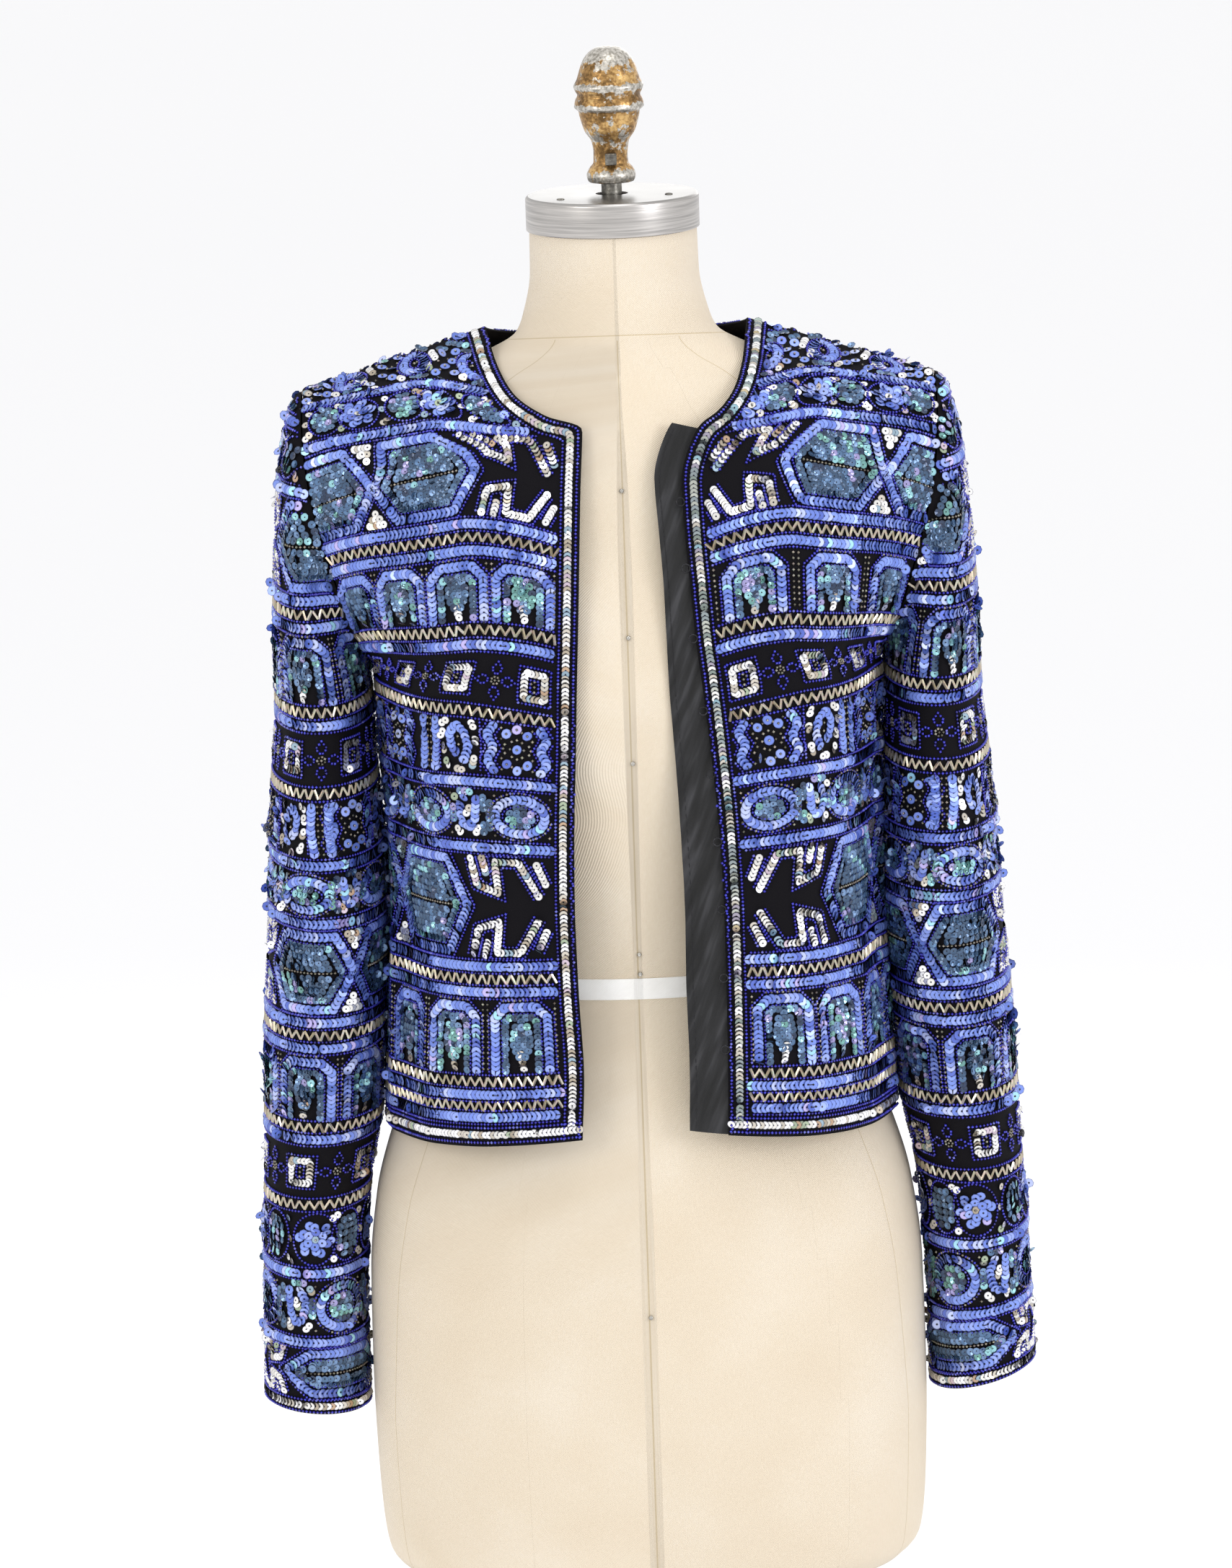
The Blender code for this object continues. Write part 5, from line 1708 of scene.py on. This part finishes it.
def colours_with_glints(kind, rows):
    """A colour for every bead: the tints in their shares, ordered by a slow drift over the
    panel with some chance mixed in. The drift stands partly for pieces of one batch used up
    one after another, and partly for painted reflection: neighbours at about the same angle
    mirror alike."""
    colours, weights = zip(*TINTS_AND_GLINTS[kind])
    share, tall = rows[:, 0], rows[:, 1]
    drift = 0.5 + 0.5 * np.sin(share * 31 + tall * 0.21 + 2.1 * np.sin(tall * 0.13 + share * 17))
    mixed = 0.55 * drift + rng.uniform(0, 0.6, len(rows))
    mixed = np.argsort(np.argsort(mixed)) / len(rows)
    steps = np.cumsum(weights) / sum(weights)
    pick = np.minimum(np.searchsorted(steps, mixed), len(colours) - 1)
    return np.array([linear(colour) for colour in colours])[pick]


def bead_mesh(panel, kind, rows):
    """One mesh with every bead of a kind on a panel."""
    spec = dict(zip(KIND_NAMES, KINDS[kind]))
    unit, faces = unit_shape(spec["shape"])
    point, along, side, normal = frames_of(panel, rows)
    count = len(point)
    spread = np.radians(spec["jitter"])
    lean = np.radians(spec["lean"]) + rng.normal(0, 1, count) * spread * LEAN_PART
    loose = (rng.random(count) < LOOSE_SHARE) * (spec["shape"] in ("flat", "cup"))
    tip = loose * np.radians(rng.uniform(*LOOSE_TIP, count))
    roll = rng.normal(0, 1, count) * spread
    turn = rng.normal(0, 1, count) * spread
    if kind == "bugle":
        turn = turn + np.radians(BUGLE_SLANT) * np.where(np.arange(count) % 2, 1, -1)
    rise = spec["lift"] + spec["radius"] * np.sin(tip) * TIP_RISE
    point = point + normal * rise[:, None]
    along, side = rotated(along, side, turn)
    along, normal = rotated(along, normal, lean + tip)
    side, normal = rotated(side, normal, roll)
    size = spec["radius"] * rng.uniform(*SIZE_RANGE, count)[:, None, None]
    scaled = unit[None] * size * (1, spec["width"], spec["width"])
    points, all_faces = repeated(scaled, faces, point, np.stack([along, side, normal], axis=1))
    piece = build_mesh(f"{panel}_{kind}_beads", points, [all_faces], bead_materials[kind],
                       {"mm": np.tile(unit[:, :2], (count, 1))},
                       np.repeat(colours_with_glints(kind, rows), len(unit), axis=0),
                       flat=spec["shape"] != "bead")
    sharp = piece.data.attributes.get("sharp_edge")
    if spec["shape"] == "bead" and sharp:
        sharp.data.foreach_set("value", np.zeros(len(piece.data.edges), bool))
    return piece


beadwork = {name: [] for name in panels}
total = 0
for (panel, kind), rows in sewn.items():
    piece = bead_mesh(panel, kind, np.concatenate(rows))
    beadwork[panel].append(piece)
    triangles = sum(len(p.vertices) - 2 for p in piece.data.polygons)
    total += triangles
    print(piece.name, len(piece.data.polygons), "faces", triangles, "triangles")
print("beadwork triangles:", total)

# %% [markdown]
# ## The closing
#
# Small black-lacquered wire eyes are sewn along the left edge, 44 mm apart, half hidden by
# the beaded edge. The free edge of the satin strip has one line of black topstitching.

# %% Eyes
EYE_EVERY, EYE_RADIUS, WIRE = 44.0, 2.4, 0.45
EYE_FIRST, EYE_COUNT = 53.0, 9
EYE_OUT, EYE_DEEP = 1.4, 0.3
RING_STEPS, WIRE_SIDES = 24, 8
lacquer = make_paint("black lacquer", ("18181A", "242427", "303034"), ("4A4A4D", "6A6A6D"),
                     0.5, 0.66, 0.26)
chart = charts["front_left"]
level = EYE_FIRST + EYE_EVERY * np.arange(EYE_COUNT)
share = np.zeros(EYE_COUNT)
hub = chart.at(chart.points, share, level)
inward = chart.at(chart.points, share + 0.02, level) - hub
inward /= np.linalg.norm(inward, axis=1, keepdims=True)
out = chart.at(chart.normals, share, level)
hub = hub - inward * EYE_OUT - out * EYE_DEEP
around = np.arange(RING_STEPS)[:, None] * 2 * math.pi / RING_STEPS
turn = np.arange(WIRE_SIDES)[None, :] * 2 * math.pi / WIRE_SIDES
ring = EYE_RADIUS + WIRE * np.cos(turn)
ring = np.stack([ring * np.cos(around), ring * np.sin(around),
                 WIRE * np.sin(turn) + 0 * around], axis=-1).reshape(-1, 3)
ring_faces = grid_faces(RING_STEPS + 1, WIRE_SIDES, True) % len(ring)
frames = np.stack([inward, np.cross(inward, out), out], axis=1)
points, all_faces = repeated(ring, ring_faces, hub, frames)
eyes = build_mesh("closing_eyes", points, [all_faces], lacquer)
print(EYE_COUNT, "eyes, at", np.round(CAP_TOP - hub[:, 2]), "down")

# %% Topstitching
STITCH_SIZE = (1.15, 0.22, 0.22)
STITCH_LIFT = 0.12
unit, stitch_faces = unit_shape("tube")
line = lap_outer[2:-4:2, 3]
normal = lap_normals[2:-4:2, 3]
along = np.gradient(line, axis=0)
along /= np.linalg.norm(along, axis=1, keepdims=True)
frames = np.stack([along, np.cross(normal, along), normal], axis=1)
points, all_faces = repeated(unit * STITCH_SIZE, stitch_faces, line + normal * STITCH_LIFT,
                             frames)
stitches = build_mesh("underlap_topstitch", points, [all_faces], thread)
print(len(line), "stitches")

# %% [markdown]
# ## What the cloth was cut to
#
# Each piece's size on the cutting table, laid flat, is worked out from its grid; those of
# the jacket panels are printed.

# %% Sheets
def flat_size(points, closed):
    """Width and length of a panel laid flat, and its area, all in metres."""
    ring = np.concatenate([points, points[:, :1]], axis=1) if closed else points
    across = np.linalg.norm(np.diff(ring, axis=1), axis=2).sum(axis=1).max()
    tall = arc_length(points)[-1].max()
    a, b = ring[1:, :-1] - ring[:-1, :-1], ring[:-1, 1:] - ring[:-1, :-1]
    area = np.linalg.norm(np.cross(a, b), axis=2).sum()
    return across * MM, tall * MM, area * MM * MM


for name, piece in panels.items():
    wide, tall, area = flat_size(grids[name][0], charts[name].closed)
    print(name, round(wide, 3), round(tall, 3), round(area, 4))
wide, tall, area = flat_size(lap_outer, False)
wide, tall, area = flat_size(tape, True)
